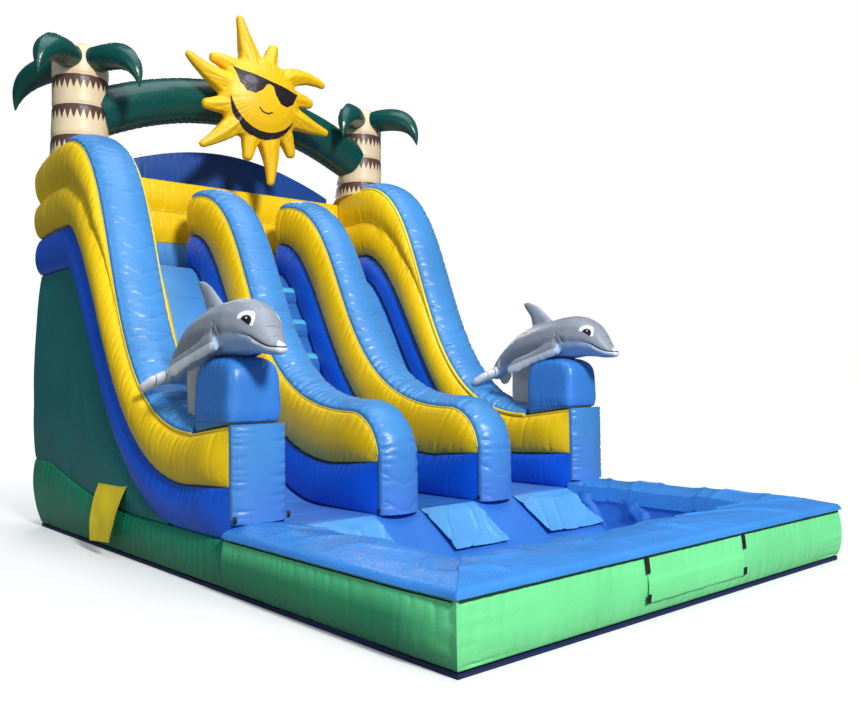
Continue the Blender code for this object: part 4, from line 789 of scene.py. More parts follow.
# painted light and shade on the pool's side walls: painted light along the top and near the front corner,
# painted shade low down
def paintSideLightAndShade(tree, place, shown):
    parts = addNode(tree, "SeparateXYZ", {0: place}).outputs
    high = mapRange(tree, parts["Z"], 0.27, 0.42, 0.0, 0.9)
    shown = blendColours(tree, high, shown, toLinear((104, 222, 152)))
    near = mapRange(tree, parts["Y"], -3.66, -3.1, 0.85, 0.0)
    shown = blendColours(tree, near, shown, toLinear((112, 226, 150)))
    low = mapRange(tree, parts["Z"], 0.04, 0.20, 0.55, 0.0)
    return blendColours(tree, low, shown, toLinear((10, 92, 84)))


# the side walls' material is a darker copy of the pool green, as painted shade
vinylPoolSideShaded = vinyl("vinylPoolSideGreen", "sideGreen", paint=paintSideLightAndShade, grime=0.12)
# the back panel's navy stands for the deep blue cloth in the arch's shade: painted shade
vinylNavy = vinyl("vinylNavy", "navy", rough=0.42)
bodyLook = {
    "base": {"bulge": 0.050, "fold": 0.011, "pitch": 0.11, "reach": 0.18, "seed": 83},
    "ribs": 9, "ribDepth": 0.045, "half": 1.7998, "backBlue": (3.0504, 3.4296), "backYellow": (3.4304, 4.2196),
    "backFace": 3.30, "panelHalf": 1.66, "panelRise": (0.10, 0.50), "panelDepth": 0.15,
}


def makeBase():
    look = bodyLook["base"]
    y = np.linspace(tower["rear"], tower["front"], 420)
    upper = np.stack([y, baseTop(y)], axis=1)
    lower = np.stack([y, np.full_like(y, 0.0352)], axis=1)
    inside = chamberPlace(upper, lower, -1, lambda side, w: -2.3 + 4.6 * w, look)

    def place(u, v, w):
        x, yy, z, gap, s = inside(u, v, w)
        swell = rearSwell(z)
        edge = np.clip((yy - 3.2) / 0.4, 0, 1)
        yy = yy + swell * easeStep(edge) * (u > 0) + swell * (u == 0)
        atRear = u == 0.0
        lateral = (w - 0.5) * 4.6
        folds = puckers(lateral + 9, v * 0.74, 0.010, 0.10, 0.18, 91)
        folds = folds + puckers(lateral + 4, (1 - v) * 0.74, 0.008, 0.12, 0.16, 92)
        yy = yy + atRear * folds
        return x, yy, z, gap, np.where(atRear, lateral + 5, s)
    skin("baseMattress", (280, 14, 120), place, vinylLeaf)


# the core shows only a little, under the lanes' end
def makeCore():
    keep = wallTop[:, 0] < 3.2998
    look = {"bulge": 0.0, "fold": 0.0, "pitch": 0.1, "reach": 0.1, "seed": 3}
    inside = chamberPlace(wallTop[keep], wallFoot[keep], -1, lambda side, w: -1.7996 + 3.5992 * w, look)
    skin("towerCore", (120, 6, 10), inside, vinylDeepBlue)


def makeRearWall():
    half = bodyLook["half"]

    def place(u, v, w):
        x = -half + 2 * half * u
        z = 3.0494 - (3.0494 - 0.7808) * v
        ribs = np.abs(np.sin(math.pi * u * bodyLook["ribs"]))
        gapRib = np.abs(np.mod(u * bodyLook["ribs"] + 0.5, 1) - 0.5) * 2 * half / bodyLook["ribs"]
        draw = bodyLook["ribDepth"] * (1 - ribs ** 0.7)
        folds = puckers(z + 3, gapRib, 0.008, 0.10, 0.16, 101) + puckers(x + 9, v * 2.27, 0.008, 0.09, 0.2, 102)
        folds = folds + puckers(x + 5, (1 - v) * 2.27, 0.008, 0.09, 0.2, 103)
        outer = tower["rear"] - draw + rearSwell(z) + folds
        y = 3.3004 + (outer - 3.3004) * w
        return x, y, z, np.minimum(gapRib, np.minimum(v, 1 - v) * 2.27), z + 0 * x
    skin("rearWall", (180, 72, 2), place, vinylDeepBlue)


def makeDeck():
    half = bodyLook["half"]

    def place(u, v, w):
        x = -half + 2 * half * u
        y = 3.2996 - 0.5992 * w
        edge = np.minimum(np.minimum(u, 1 - u) * 2 * half, np.minimum(w, 1 - w) * 0.6)
        swell = 0.010 * np.minimum(1, edge / 0.10) * (1 + 0.5 * smoothField(x / 0.3, y / 0.2, 111))
        z = 3.0494 + swell * (1 - v) - 0.0990 * v
        return x, y, z, edge, x + 3
    skin("platformDeck", (120, 2, 26), place, vinylDeepBlue)


def makeBackTube(name, low, high, lobes, material, seed):
    half = bodyLook["half"]
    tall = high - low

    def place(u, v, w):
        x = -half + 2 * half * u
        z = high - tall * v
        part = np.mod(v * lobes, 1.0)
        part = np.where(v >= 1.0, 0.0, part)
        size = tall / lobes
        bow = archedShare(part)
        folds = puckers(x + 4, part * size, 0.008, 0.085, 0.13, seed)
        folds = folds + puckers(x + 7, (1 - part) * size, 0.008, 0.095, 0.13, seed + 1)
        folds += baffles(x + 3, np.minimum(part, 1 - part) * size, 0.006, 0.36, 0.012, seed + 2)
        folds += 0.005 * smoothField(x / 0.4, z / 0.2, seed + 3) * bow
        front = bodyLook["backFace"] - (0.045 * bow + folds) * (1 - w)
        y = front + (3.5996 - bodyLook["backFace"]) * w + 0.03 * bow * w
        y = np.where(w > 0, np.minimum(y, 3.5996 + 0.03), y)
        return x, y, z, np.minimum(part, 1 - part) * size, x + 4
    skin(name, (300, 16 * lobes, 2), place, material)


def makeBackPanel():
    half = bodyLook["panelHalf"]
    low, high = bodyLook["panelRise"]

    def place(u, v, w):
        x = -half + 2 * half * u
        rise = low + (high - low) * np.cos((2 * u - 1) * math.pi / 2).clip(0) ** 0.9
        z = 4.2204 + rise * (1 - v)
        edge = np.minimum(u, 1 - u) * 2 * half
        bow = archedShare(v) * np.minimum(1, edge / 0.1) * np.minimum(1, rise / 0.3)
        folds = puckers(x + 3, v * rise, 0.007, 0.09, 0.12, 131)
        folds = folds + puckers(x + 8, (1 - v) * rise, 0.007, 0.10, 0.12, 133)
        y = 3.5250 + (w - 0.5) * (bodyLook["panelDepth"] - 0.04) + np.sign(w - 0.5) * (0.02 * bow + folds * bow)
        return x, y, z, np.minimum(v, 1 - v) * rise, x + 3
    skin("backPanel", (260, 18, 3), place, vinylNavy)


makeBase()
makeCore()
makeRearWall()
makeDeck()
makeBackTube("backWallBlue", *bodyLook["backBlue"], 1, vinylLightBlue, 121)
makeBackTube("backWallYellow", *bodyLook["backYellow"], 2, vinylYellow, 125)
makeBackPanel()
print("base, walls and platform done")


# slide beds and climbing lane

laneRun = runAlong(laneTop)
laneLook = {"steps": 7, "lift": 0.075, "inset": 0.07, "handles": (1, 2, 4, 5), "seamPitch": 0.62}


def makeBed(side):
    seed = 140 + (3 if side > 0 else 0)

    def place(u, v, w):
        uy, uz = at(laneTop, u)
        ly, lz = at(laneFoot, u)
        s = at(laneRun, u)
        x = side * (1.7994 - (1.7994 - 0.8356) * w)
        edge = np.minimum(w, 1 - w) * 0.96
        bow = np.minimum(1, edge / 0.14)
        pitch = laneLook["seamPitch"]
        cross = pitch / 2 - np.abs(np.mod(s / pitch, 1) - 0.5) * pitch
        lift = 0.014 * np.sin(math.pi * w) - 0.010 * np.exp(-(cross / 0.03) ** 2)
        lift += puckers(x + 5, cross, 0.005, 0.09, 0.14, seed) + puckers(s, edge, 0.006, 0.10, 0.12, seed + 1)
        lift += 0.004 * smoothField(s / 0.35, x / 0.25, seed + 2)
        lift *= bow * np.minimum(1, (laneRun[-1] - s) / 0.05)
        z = uz - 0.0004 + (lz - uz + 0.0008) * v + np.maximum(lift, -0.012) * (1 - v)
        return x, uy + (ly - uy) * v, z, np.minimum(edge, cross), s
    skin(sided("slideBed", side), (340, 1, 36), place, vinylLightBlue)


# height of the climbing lane's steps at a distance down the slope
def laneLift(s):
    pitch = laneRun[slopeCount] / (laneLook["steps"] + 1)
    step = np.floor(s / pitch - 0.5)
    share = s / pitch - 0.5 - step
    real = (step >= 0) & (step < laneLook["steps"])
    return np.where(real, np.clip(1 - (np.abs(share - 0.5) / 0.26) ** 2.4, 0, 1) ** 0.8, 0.0), share


def makeRamp():
    normal = lineNormals(laneTop)

    def place(u, v, w):
        uy, uz = at(laneTop, u)
        ly, lz = at(laneFoot, u)
        ny, nz = at(normal, u)
        s = at(laneRun, u)
        x = -0.3996 + 0.7992 * w
        edge = np.minimum(w, 1 - w) * 0.8
        rise, share = laneLift(s)
        full = np.clip(edge / laneLook["inset"], 0, 1)
        full = np.sqrt(np.clip(1 - (1 - full) ** 2, 0, 1))
        folds = puckers(x + 3, np.abs(share - 0.24) * 0.5, 0.006, 0.07, 0.10, 151)
        folds = folds + puckers(x + 6, np.abs(share - 0.76) * 0.5, 0.006, 0.07, 0.10, 152)
        uneven = 1 + 0.06 * smoothField(x / 0.2, s / 0.2, 153)
        lift = laneLook["lift"] * rise * full * uneven + folds * full
        lift = np.maximum(lift, -0.006)
        y = uy + ny * lift * (1 - v) + (ly - uy) * v
        z = uz - 0.0004 + nz * lift * (1 - v) + (lz - uz + 0.0008) * v
        return x, y, z, np.minimum(edge, np.abs(np.abs(share - 0.5) - 0.26) * 0.5 + 0.004), s
    obj = blockSkin("climbRamp", (400, 1, 30), place)
    setField(obj, "step", laneLift(np.interp(-points(obj)[:, 1], -laneTop[:, 0], laneRun))[0])
    dress(obj, shadedRampMaterial)


def paintSteps(tree, place, shown):
    return blendColours(tree, mapRange(tree, field(tree, "step"), 0.25, 0.32), shown, toLinear(colours["cyan"]))


# the climbing lane's blue is darkened as painted shade between the dividers
shadedRampMaterial = vinyl("vinylClimbingLane", "rampBlueShaded", paint=paintSteps)


def paintWeave(tree, place, shown):
    weave = addNode(tree, "TexWave", {"Vector": place, "Scale": 90.0, "Distortion": 0.4}).outputs[0]
    return blendColours(tree, sums(tree, "MULTIPLY", weave, 0.35), shown, (0.35, 0.36, 0.38))


webbingWhite = vinyl("webbingWhite", "white", rough=0.8, seams=False,
                     paint=paintWeave, wear=0.2)
handleLook = {"width": 0.042, "thickness": 0.005, "rise": 0.125, "span": 0.26, "tab": 0.05}


# webbing loop sewn to a step by two flat tabs
def makeHandle(number):
    pitch = laneRun[slopeCount] / (laneLook["steps"] + 1)
    s = pitch * (laneLook["handles"][number - 1] + 1.0)
    index = int(np.searchsorted(laneRun, s))
    foot = laneTop[index]
    step = laneTop[index + 1] - laneTop[index - 1]
    step = step / np.linalg.norm(step)
    normal = np.array([step[1], -step[0]])
    foot = foot + normal * (laneLook["lift"] + 0.004)

    def place(u, v, w):
        turn = (u - 0.5) * 2
        flat = np.clip((np.abs(turn) - 0.72) / 0.28, 0, 1)
        angle = np.clip(turn / 0.72, -1, 1) * math.pi / 2
        x = np.sin(angle) * handleLook["span"] / 2 * 0.86 + np.sign(turn) * flat * handleLook["tab"]
        rise = np.cos(angle) ** 0.7 * handleLook["rise"] * (np.abs(turn) < 0.72)
        rise = rise + handleLook["thickness"] * (v - 0.5)
        across = (w - 0.5) * handleLook["width"]
        y = foot[0] + normal[0] * rise + step[0] * across
        z = foot[1] + normal[1] * rise + step[1] * across
        return x, y, z, 0.05 + 0 * u, u
    skin(f"handleLoop{number}", (90, 1, 6), place, webbingWhite, [f"climb_handle_{number}"])


for side in (-1, 1):
    makeBed(side)
makeRamp()
for number in range(1, 5):
    makeHandle(number)
print("lanes done")


# pool: walls, rim covers, liner, flaps

poolLook = {
    "half": 2.3, "front": -3.6, "back": -0.9582, "wall": 0.52, "foot": 0.0354, "top": 0.49, "crown": 0.035,
    "lengths": (4.6, 2.64), "bulge": 0.045, "sideBulge": 0.032, "innerBulge": 0.0225,
    "lipOut": 0.05, "lipIn": 0.14, "sheet": 0.004,
}
sheetBlue = vinyl("sheetBlue", (52, 116, 204), rough=0.32, seams=False, wrinkle=1.2)


# surface of the pool's front or side wall at a height, as distance out from the wall's plane
def wallBulge(z, run=0.0):
    v = np.clip(1 - (z - poolLook["foot"]) / (poolLook["top"] - poolLook["foot"]), 0, 1)
    bulge = poolLook["bulge"] + poolLook["sideBulge"] * easeStep(run / 0.5)
    return bulge * roundShare(v)


# x and y of a spot on a pool wall, mitred at the corners
def wallSpots(kind, u, depth):
    half, front = poolLook["half"], poolLook["front"]
    if kind == 0:
        left = -half + depth
        return left + (-2 * left) * u, front + depth
    near = front + depth
    return kind * (half - depth), near + (poolLook["back"] - near) * u


poolSides = {-1: "Left", 0: "Front", 1: "Right"}


def makePoolWall(kind):
    seed = 160 + 5 * kind
    length = poolLook["lengths"][abs(kind)]
    top, wall = poolLook["top"], poolLook["wall"]

    def place(u, v, w):
        s = u * length
        bow = roundShare(v)
        folds = puckers(s + 2, v * 0.45, 0.009, 0.11, 0.18, seed)
        folds = folds + puckers(s + 5, (1 - v) * 0.45, 0.009, 0.12, 0.18, seed + 1)
        corner = np.minimum(s, length - s) if kind == 0 else s
        folds += puckers(v * 0.45 + 3, corner, 0.015, 0.075, 0.30, seed + 3)
        folds += 0.006 * smoothField(s / 0.6, v * 1.5, seed + 2) * bow
        bulge = poolLook["bulge"] + abs(kind) * poolLook["sideBulge"] * easeStep(s / 0.5)
        outward = (bulge * bow + folds) * (1 - w) - poolLook["innerBulge"] * bow * w
        depth = wall * w - outward
        crown = poolLook["crown"] * np.sin(math.pi * w)
        z = poolLook["foot"] + (top - poolLook["foot"]) * (1 - v) + crown * (1 - v)
        x, y = wallSpots(kind, u, depth)
        return x, y, z, np.minimum(v, 1 - v) * 0.45, s
    material = vinylPool if kind == 0 else vinylPoolSideShaded
    skin("poolWall" + poolSides[kind], (int(length * 70), 22, 8), place, material)


coverLook = {
    "soft": 0.015, "sharp": 0.022, "fine": 0.007, "calm": 0.28, "off": 0.008, "out": 0.010, "seed": 180,
}


# the sheet over a rim: a lip outside, soft folds on top, a longer lip inside
def makeCover(kind):
    seed = coverLook["seed"] + 5 * kind
    length = poolLook["lengths"][abs(kind)]
    top, wall, crown = poolLook["top"], poolLook["wall"], poolLook["crown"]
    lipOut, lipIn = poolLook["lipOut"], poolLook["lipIn"]
    total = lipOut + wall + lipIn

    def place(u, v):
        s = u * length
        d = v * total
        across = np.clip(d - lipOut, 0, wall)
        w = across / wall
        soft = smoothField(s / 0.50 + 0.9 * w, w * 1.4 + 3, seed)
        soft = soft + 0.4 * smoothField(s / 0.22 + 1.2 * w, w * 2.0, seed + 1)
        sharp = 1 - np.abs(smoothField(s / 0.40 + 1.6 * w, w * 1.1, seed + 2)) * 2.0
        calm = 0.12 + 0.88 * easeStep(w / coverLook["calm"])
        folds = coverLook["soft"] * np.clip(soft * 0.5 + 0.5, 0, 1.4)
        lift = coverLook["off"] + calm * (folds + coverLook["sharp"] * np.clip(sharp, 0, 1) ** 4)
        fine = 1 - np.abs(smoothField(s / 0.24 + 2.4 * w, w * 1.5, seed + 3)) * 2.4
        lift += coverLook["fine"] * calm * np.clip(fine, 0, 1) ** 3
        z = top + crown * np.sin(math.pi * w) + lift
        out = coverLook["out"] + 0.002 * np.clip(soft, -1, 1)
        outerLip = np.clip(lipOut - d, 0, lipOut)
        innerLip = np.clip(d - lipOut - wall, 0, lipIn)
        z = z - outerLip - innerLip
        lipShare = outerLip / 0.4546
        bulge = poolLook["bulge"] + abs(kind) * poolLook["sideBulge"] * easeStep(s / 0.5)
        bulgeHere = bulge * roundShare(lipShare)
        bulgeIn = poolLook["innerBulge"] * np.sin(math.pi * np.clip(innerLip / 0.45, 0, 1))
        outside = bulgeHere + out * np.minimum(1, outerLip / 0.015 + 0.3)
        depth = across - (outerLip > 0) * outside + (innerLip > 0) * (bulgeIn + 0.010)
        depth = depth + (w * 0.010 - (1 - w) * 0.008)
        x, y = wallSpots(kind, u, depth)
        return x, y, z, np.minimum(v, 1 - v) * total, s
    obj = gridSkin("rimCover" + poolSides[kind], (int(length * 54), 46), place)
    thicken(obj, poolLook["sheet"], 1.0)
    dress(obj, coverBlue)
    nodeName("poolWall" + poolSides[kind])


coverBlue = vinyl("coverBlue", "sheetBlue", rough=0.27, seams=False, wrinkle=1.2)
# the ground sheet's navy is darkened almost to black as painted shade under the pool walls
sheetNavy = vinyl("sheetNavy", "sheetNavy", rough=0.5)


linerLook = {
    "off": 0.029, "low": 0.037, "high": 0.40, "highRear": 0.447, "rim": -0.9665, "floor": -1.52,
    "floorFolds": (0.012, 0.008), "slack": 0.056, "rear": 0.012, "sheet": 0.003, "flat": 2.95, "overlap": 0.68,
}


# the pool's blue sheet: floor, three upright sides and a slope up to the lanes' ends
def makeLiner():
    half = poolLook["half"] - poolLook["wall"] - linerLook["off"]
    near = poolLook["front"] + poolLook["wall"] + linerLook["off"]
    low, high, highRear = linerLook["low"], linerLook["high"], linerLook["highRear"]
    farFloor, farRim = linerLook["floor"], linerLook["rim"]

    def place(u, v, w):
        across = -half + 2 * half * u
        far = farRim + (farFloor - farRim) * v
        y = near + (far - near) * w
        top = high + (highRear - high) * easeStep((w - 0.55) / 0.45)
        z = top + (low - top) * v
        wall = np.minimum(np.minimum(u, 1 - u) * 2 * half, np.minimum(w, 1 - w) * 2)
        broad, narrow = linerLook["floorFolds"]
        floorFold = broad * np.clip(smoothField(across / 0.3, y / 0.28, 201) + 0.3, 0, 1)
        floorFold = floorFold + narrow * np.clip(smoothField(across / 0.13, y / 0.17, 202), 0, 1)
        onFloor = (v == 1.0) * np.minimum(1, wall / 0.1)
        z = z + floorFold * onFloor
        wavy = smoothNoise((across + y + 0.25 * v) / 0.11, 203)
        wavy = wavy + 0.5 * smoothNoise((across + y - 0.2 * v) / 0.06, 204)
        deep = np.sin(math.pi * np.clip(v * 0.9 + 0.1, 0, 1))
        slack = linerLook["slack"] * deep * np.clip(wavy + 0.15, -0.15, 1.2)
        x = across + np.where(u == 0, slack, 0) - np.where(u == 1, slack, 0)
        y = y + np.where(w == 0, slack, 0)
        front = (w == 1.0) & (v > 0)
        rear = 0.5 + 0.5 * smoothField(across / 0.35 + v, v * 2.5, 205)
        rear = rear + 0.6 * smoothField(across / 0.12 + 2 * v, v * 3, 206)
        rear = linerLook["rear"] * np.sin(math.pi * v) * rear
        z = z + np.where(front, 0.6 * rear, 0)
        y = y - np.where(front, 0.6 * rear, 0)
        return x, y, z, wall, across + y + 6
    obj = blockSkin("poolLiner", (200, 22, 110), place, leaveOut=((1, 0.0),))
    useTool(obj)
    bm = bmesh.new()
    bm.from_mesh(obj.data)
    floorFace = min(bm.faces, key=lambda face: face.calc_center_median().z)
    if floorFace.normal.z < 0:
        bmesh.ops.reverse_faces(bm, faces=bm.faces)
    bm.to_mesh(obj.data)
    bm.free()
    thicken(obj, linerLook["sheet"], 1.0)
    dress(obj, sheetBlue)


flapLook = {
    "hinge": (-0.9585, 0.4585), "drop": 56, "long": 0.578, "waves": (0.008, 0.012), "ridge": 0.018,
    "curl": (-0.004, -0.008, 0.010), "side": 0.016, "sheet": 0.003, "flat": 0.58,
}


# a sheet that hangs from the end of a lane, a little wavy at its free edge
def makeFlap(name, low, high, seed):
    hinge = flapLook["hinge"]
    drop = math.radians(flapLook["drop"])
    away = np.array([-math.sin(drop), -math.cos(drop)])
    upward = np.array([away[1], -away[0]])
    width = high - low

    def place(u, v):
        x = low + width * u
        d = flapLook["long"] * v
        wave = flapLook["waves"][0] * v * (1 + np.sin(u * math.pi * 2.3 + seed))
        wave = wave + flapLook["waves"][1] * np.sqrt(v) * (1 + smoothField(u * 2.6, v * 2.0, seed))
        ridge = 1 - np.abs(smoothField(u * 4 + v * 1.5, v * 1.7, seed + 4)) * 2.4
        wave = wave + flapLook["ridge"] * np.clip(ridge, 0, 1) ** 2 * np.minimum(1, v * 5)
        start, early, late = flapLook["curl"]
        curl = start + early * np.minimum(1, v * 5) + late * v ** 3
        side = flapLook["side"] * v * smoothNoise(v * 4, seed + 1)
        lift = curl - wave
        y = hinge[0] + away[0] * d - upward[0] * lift
        z = hinge[1] + away[1] * d - upward[1] * lift
        return x + side, y, z, np.minimum(np.minimum(u, 1 - u) * width, (1 - v) * flapLook["long"]), x + d
    obj = gridSkin(name, (60, 44), place)
    thicken(obj, flapLook["sheet"], 0.0)
    dress(obj, flapBlue, body=nodeName(name))


flapBlue = vinyl("flapBlue", (84, 154, 214), rough=0.22, seams=False, wrinkle=1.0)


drainLook = {"left": -0.575, "wide": 1.25, "top": 0.3095, "tall": 0.188, "hinge": -3.6448, "wave": 0.004}


# the sheet over the drain; it starts on the hinge's line and then follows the wall's swell
def makeDrainFlap():
    def place(u, v):
        x = drainLook["left"] + drainLook["wide"] * u
        d = drainLook["tall"] * v
        z = drainLook["top"] - d
        wave = drainLook["wave"] * v * (np.sin(u * 17) + smoothNoise(u * 9, 211))
        y = drainLook["hinge"] - (wallBulge(z) - 0.0372) * easeStep(d / 0.06) - np.abs(wave)
        return x, y, z, np.minimum(np.minimum(u, 1 - u) * drainLook["wide"], (1 - v) * 0.19), x + 2
    obj = gridSkin("drainFlap", (120, 20), place)
    thicken(obj, 0.003, 0.0)
    dress(obj, vinylPool, body="drain_flap")


groundLook = {"half": (2.312, 3.612), "top": 0.0335, "bottom": 0.0012, "flat": (4.69, 7.29)}


def makeGroundSheet():
    def place(u, v, w):
        wide, deep = groundLook["half"]
        bow = 0.006 * smoothNoise((u + w) * 24, 221) * (1 - v)
        x = -wide + 2 * wide * w
        y = deep - 2 * deep * u
        x = x + (w == 0) * bow - (w == 1) * bow
        above = groundLook["top"] * (1 - v)
        return x, y, above + groundLook["bottom"] * v, above + 0.01, x + y + 9
    obj = blockSkin("groundSheet", (110, 2, 70), place, leaveOut=((1, 0.0),))
    thicken(obj, 0.002, 0.0)
    dress(obj, sheetNavy)


for kind in (-1, 0, 1):
    makePoolWall(kind)
    makeCover(kind)
makeLiner()
makeFlap("landingFlapLeft", -1.74, -0.895, 5)
makeFlap("landingFlapMiddle", -0.34, 0.34, 8)
makeFlap("landingFlapRight", 0.895, 1.74, 13)
makeDrainFlap()
makeGroundSheet()
print("pool done")


# posts, dolphins and their webs

# soft irregular dents along the normals of an evenly meshed piece
def wrinkled(obj, amount, scale, seed):
    x, y, z = (points(obj) / scale).T
    dents = smoothField(x + y * 0.7, z + y * 0.4, seed) + 0.5 * smoothField(y * 2.1, z * 2.1 + x, seed + 1)
    pushOut(obj, amount * dents)


dolphinLook = {"splay": 0.03, "length": 1.80, "front": -0.97, "middle": 2.08}
dolphinEye = [
    (-0.360, 2.168), (-0.361, 2.187), (-0.379, 2.208), (-0.414, 2.226), (-0.452, 2.229), (-0.491, 2.218),
    (-0.504, 2.199), (-0.499, 2.158), (-0.489, 2.118), (-0.478, 2.100), (-0.455, 2.105), (-0.460, 2.127),
    (-0.440, 2.16), (-0.391, 2.167), (-0.371, 2.158),
]
dolphinPupil = [
    (-0.388, 2.165), (-0.404, 2.186), (-0.435, 2.195), (-0.464, 2.184), (-0.475, 2.155), (-0.467, 2.125),
    (-0.452, 2.108), (-0.434, 2.118), (-0.412, 2.139), (-0.395, 2.152),
]
# the body's half width at stations from the nose to the tail, as y and width
bodyHalf = (
    [-1.43, -1.30, -1.23, -1.145, -1.02, -0.87, -0.67, -0.44, -0.23, -0.03, 0.15, 0.29, 0.39, 0.46],
    [0.02, 0.09, 0.13, 0.167, 0.204, 0.235, 0.238, 0.228, 0.206, 0.172, 0.131, 0.094, 0.067, 0.037],
)
# the belly mark is a paler belly, tinted blue as painted sky light
dolphinMarks = (
    ("belly", 120.0, colours["belly"]), ("pale", 200.0, (214, 220, 226)), ("mark", 260.0, (34, 36, 46)),
    ("eyeWhite", 260.0, colours["white"]), ("pupil", 260.0, colours["black"]),
    ("glint", 260.0, (255, 255, 255)),
)


def lineDistance(path, y, z):
    best = np.full(len(y), 1e9)
    for (ay, az), (by, bz) in zip(path, path[1:]):
        dy, dz = by - ay, bz - az
        t = np.clip(((y - ay) * dy + (z - az) * dz) / (dy * dy + dz * dz + 1e-12), 0, 1)
        best = np.minimum(best, np.hypot(y - ay - t * dy, z - az - t * dz))
    return best


# signed distance to a closed outline, positive inside
def insideOf(outline, y, z):
    closed = outline + outline[:1]
    inside = np.zeros(len(y), bool)
    for (ay, az), (by, bz) in zip(closed, closed[1:]):
        inside ^= ((az > z) != (bz > z)) & (y < (by - ay) * (z - az) / (bz - az + 1e-12) + ay)
    distance = lineDistance(closed, y, z)
    return np.where(inside, distance, -distance)


# colours laid on where a vertex field is above zero, as (field, sharpness, colour)
def painter(marks):
    def paint(tree, place, shown):
        for name, sharp, colour in marks:
            share = sums(tree, "MULTIPLY", field(tree, name), sharp, clamp=True)
            shown = blendColours(tree, share, shown, toLinear(colour))
        return shown
    return paint


vinylDolphin = vinyl("vinylDolphin", "grey", rough=0.36, seams=False,
                     paint=painter(dolphinMarks))
# printed lines: mouth and face ones over the distance ahead, the others over y
mouthLine = [
    (-0.385, 2.047), (-0.458, 2.027), (-0.503, 1.992), (-0.548, 1.964), (-0.593, 1.943), (-0.641, 1.936),
    (-0.72, 1.932),
]
cheekLine = [(-0.343, 2.055), (-0.296, 2.065), (-0.249, 2.065), (-0.208, 2.056), (-0.16, 2.04)]
bellyLine = [
    (-0.90, 2.066), (-0.80, 2.056), (-0.75, 2.035), (-0.66, 2.01), (-0.44, 1.97), (-0.23, 1.94), (-0.03, 1.90),
    (0.15, 1.84), (0.29, 1.785), (0.39, 1.745), (0.60, 1.70),
]
creaseLines = (
    [(-0.739, 2.150), (-0.760, 2.050)], [(-0.797, 2.114), (-0.825, 2.066)], [(-0.824, 2.088), (-0.836, 2.062)],
    [(-0.722, 2.11), (-0.738, 2.046)], [(-0.43, 1.88), (-0.47, 1.93)], [(-0.17, 1.80), (-0.20, 1.86)],
    [(-0.342, 2.33), (-0.403, 2.308)],
)
faceCreases = (
    [(-0.565, 2.087), (-0.60, 2.097), (-0.66, 2.101)], [(-0.518, 2.264), (-0.537, 2.224)],
    [(-0.632, 2.014), (-0.66, 2.021)],
)


def makeDolphin(side):
    obj = copyNode(sided("dolphin", side), 0.0105, 46)
    wrinkled(obj, 0.0035, 0.16, 231 + side)
    x, y, z = points(obj).T
    splay = dolphinLook["splay"] * (y - dolphinLook["front"]) / dolphinLook["length"]
    lateral = np.abs(x - side * (dolphinLook["middle"] + splay))
    half = np.interp(y, *bodyHalf)
    ahead = 0.87 * lateral + 0.5 * y
    mouthZ = np.interp(ahead, *zip(*(mouthLine[::-1] + cheekLine)))
    flankZ = np.interp(y, *zip(*bellyLine))
    share = easeStep((y + 0.94) / 0.16)
    belly = mouthZ * (1 - share) + flankZ * share - z
    fin = (lateral > half + 0.004) & (y > -0.80) & (y < 0.16)
    finLine = 2.004 - (y + 0.755) * 0.285
    fluke = (lateral > 0.085) & (y > 0.27)
    head = y < -0.90
    creaseGap = np.min([lineDistance(path, y, z) for path in creaseLines[:4]], axis=0)
    dent = puckers(z * 0.6 + y + 5, np.abs(finLine - z), 0.005, 0.05, 0.08, 235) * fin
    dent = dent - 0.009 * np.exp(-(creaseGap / 0.012) ** 2) * (lateral > 0.12)
    dent = dent - 0.006 * np.exp(-(lineDistance(mouthLine, ahead, z) / 0.010) ** 2) * head
    puff = 0.005 + 0.016 * easeStep((y - 0.12) / 0.25)
    pushOut(obj, dent + puff)
    setField(obj, "belly", np.where(fin | fluke, -0.03, belly))
    jaw = z - mouthZ + 0.036 + 0.12 * np.clip(-0.62 - ahead, 0, 1)
    strip = np.minimum(np.minimum(mouthZ - 0.003 - z, jaw), -0.47 - ahead)
    tip = 0.066 - np.hypot(ahead + 0.722, (z - 1.936) * 0.9)
    pale = np.where(head, np.maximum(strip, tip), -0.02)
    pale = np.where(fin, finLine - 0.006 - z, pale)
    setField(obj, "pale", np.where(fluke, 0.03, pale))
    taper = 0.0080 * np.clip((-0.36 - ahead) / 0.12, 0.2, 1)
    mark = np.where(head, taper - lineDistance(mouthLine, ahead, z), -0.02)
    eyes = {
        "eyeWhite": insideOf(dolphinEye, ahead, z), "pupil": insideOf(dolphinPupil, ahead, z),
        "glint": 0.009 - np.hypot(ahead + 0.433, z - 2.168),
    }
    for name, values in eyes.items():
        setField(obj, name, np.where(head & (lateral > 0.03), values, -0.02))
    for path in creaseLines:
        mark = np.maximum(mark, 0.0048 - lineDistance(path, y, z))
    for path in faceCreases:
        mark = np.where(head, np.maximum(mark, 0.0040 - lineDistance(path, ahead, z)), mark)
    tick = 0.006 - np.abs(np.mod(lateral, 0.075) - 0.04) - 4 * np.clip(y - 0.45, 0, 1)
    setField(obj, "mark", np.maximum(mark, np.where(fluke, tick, -0.02)))
    dress(obj, vinylDolphin)


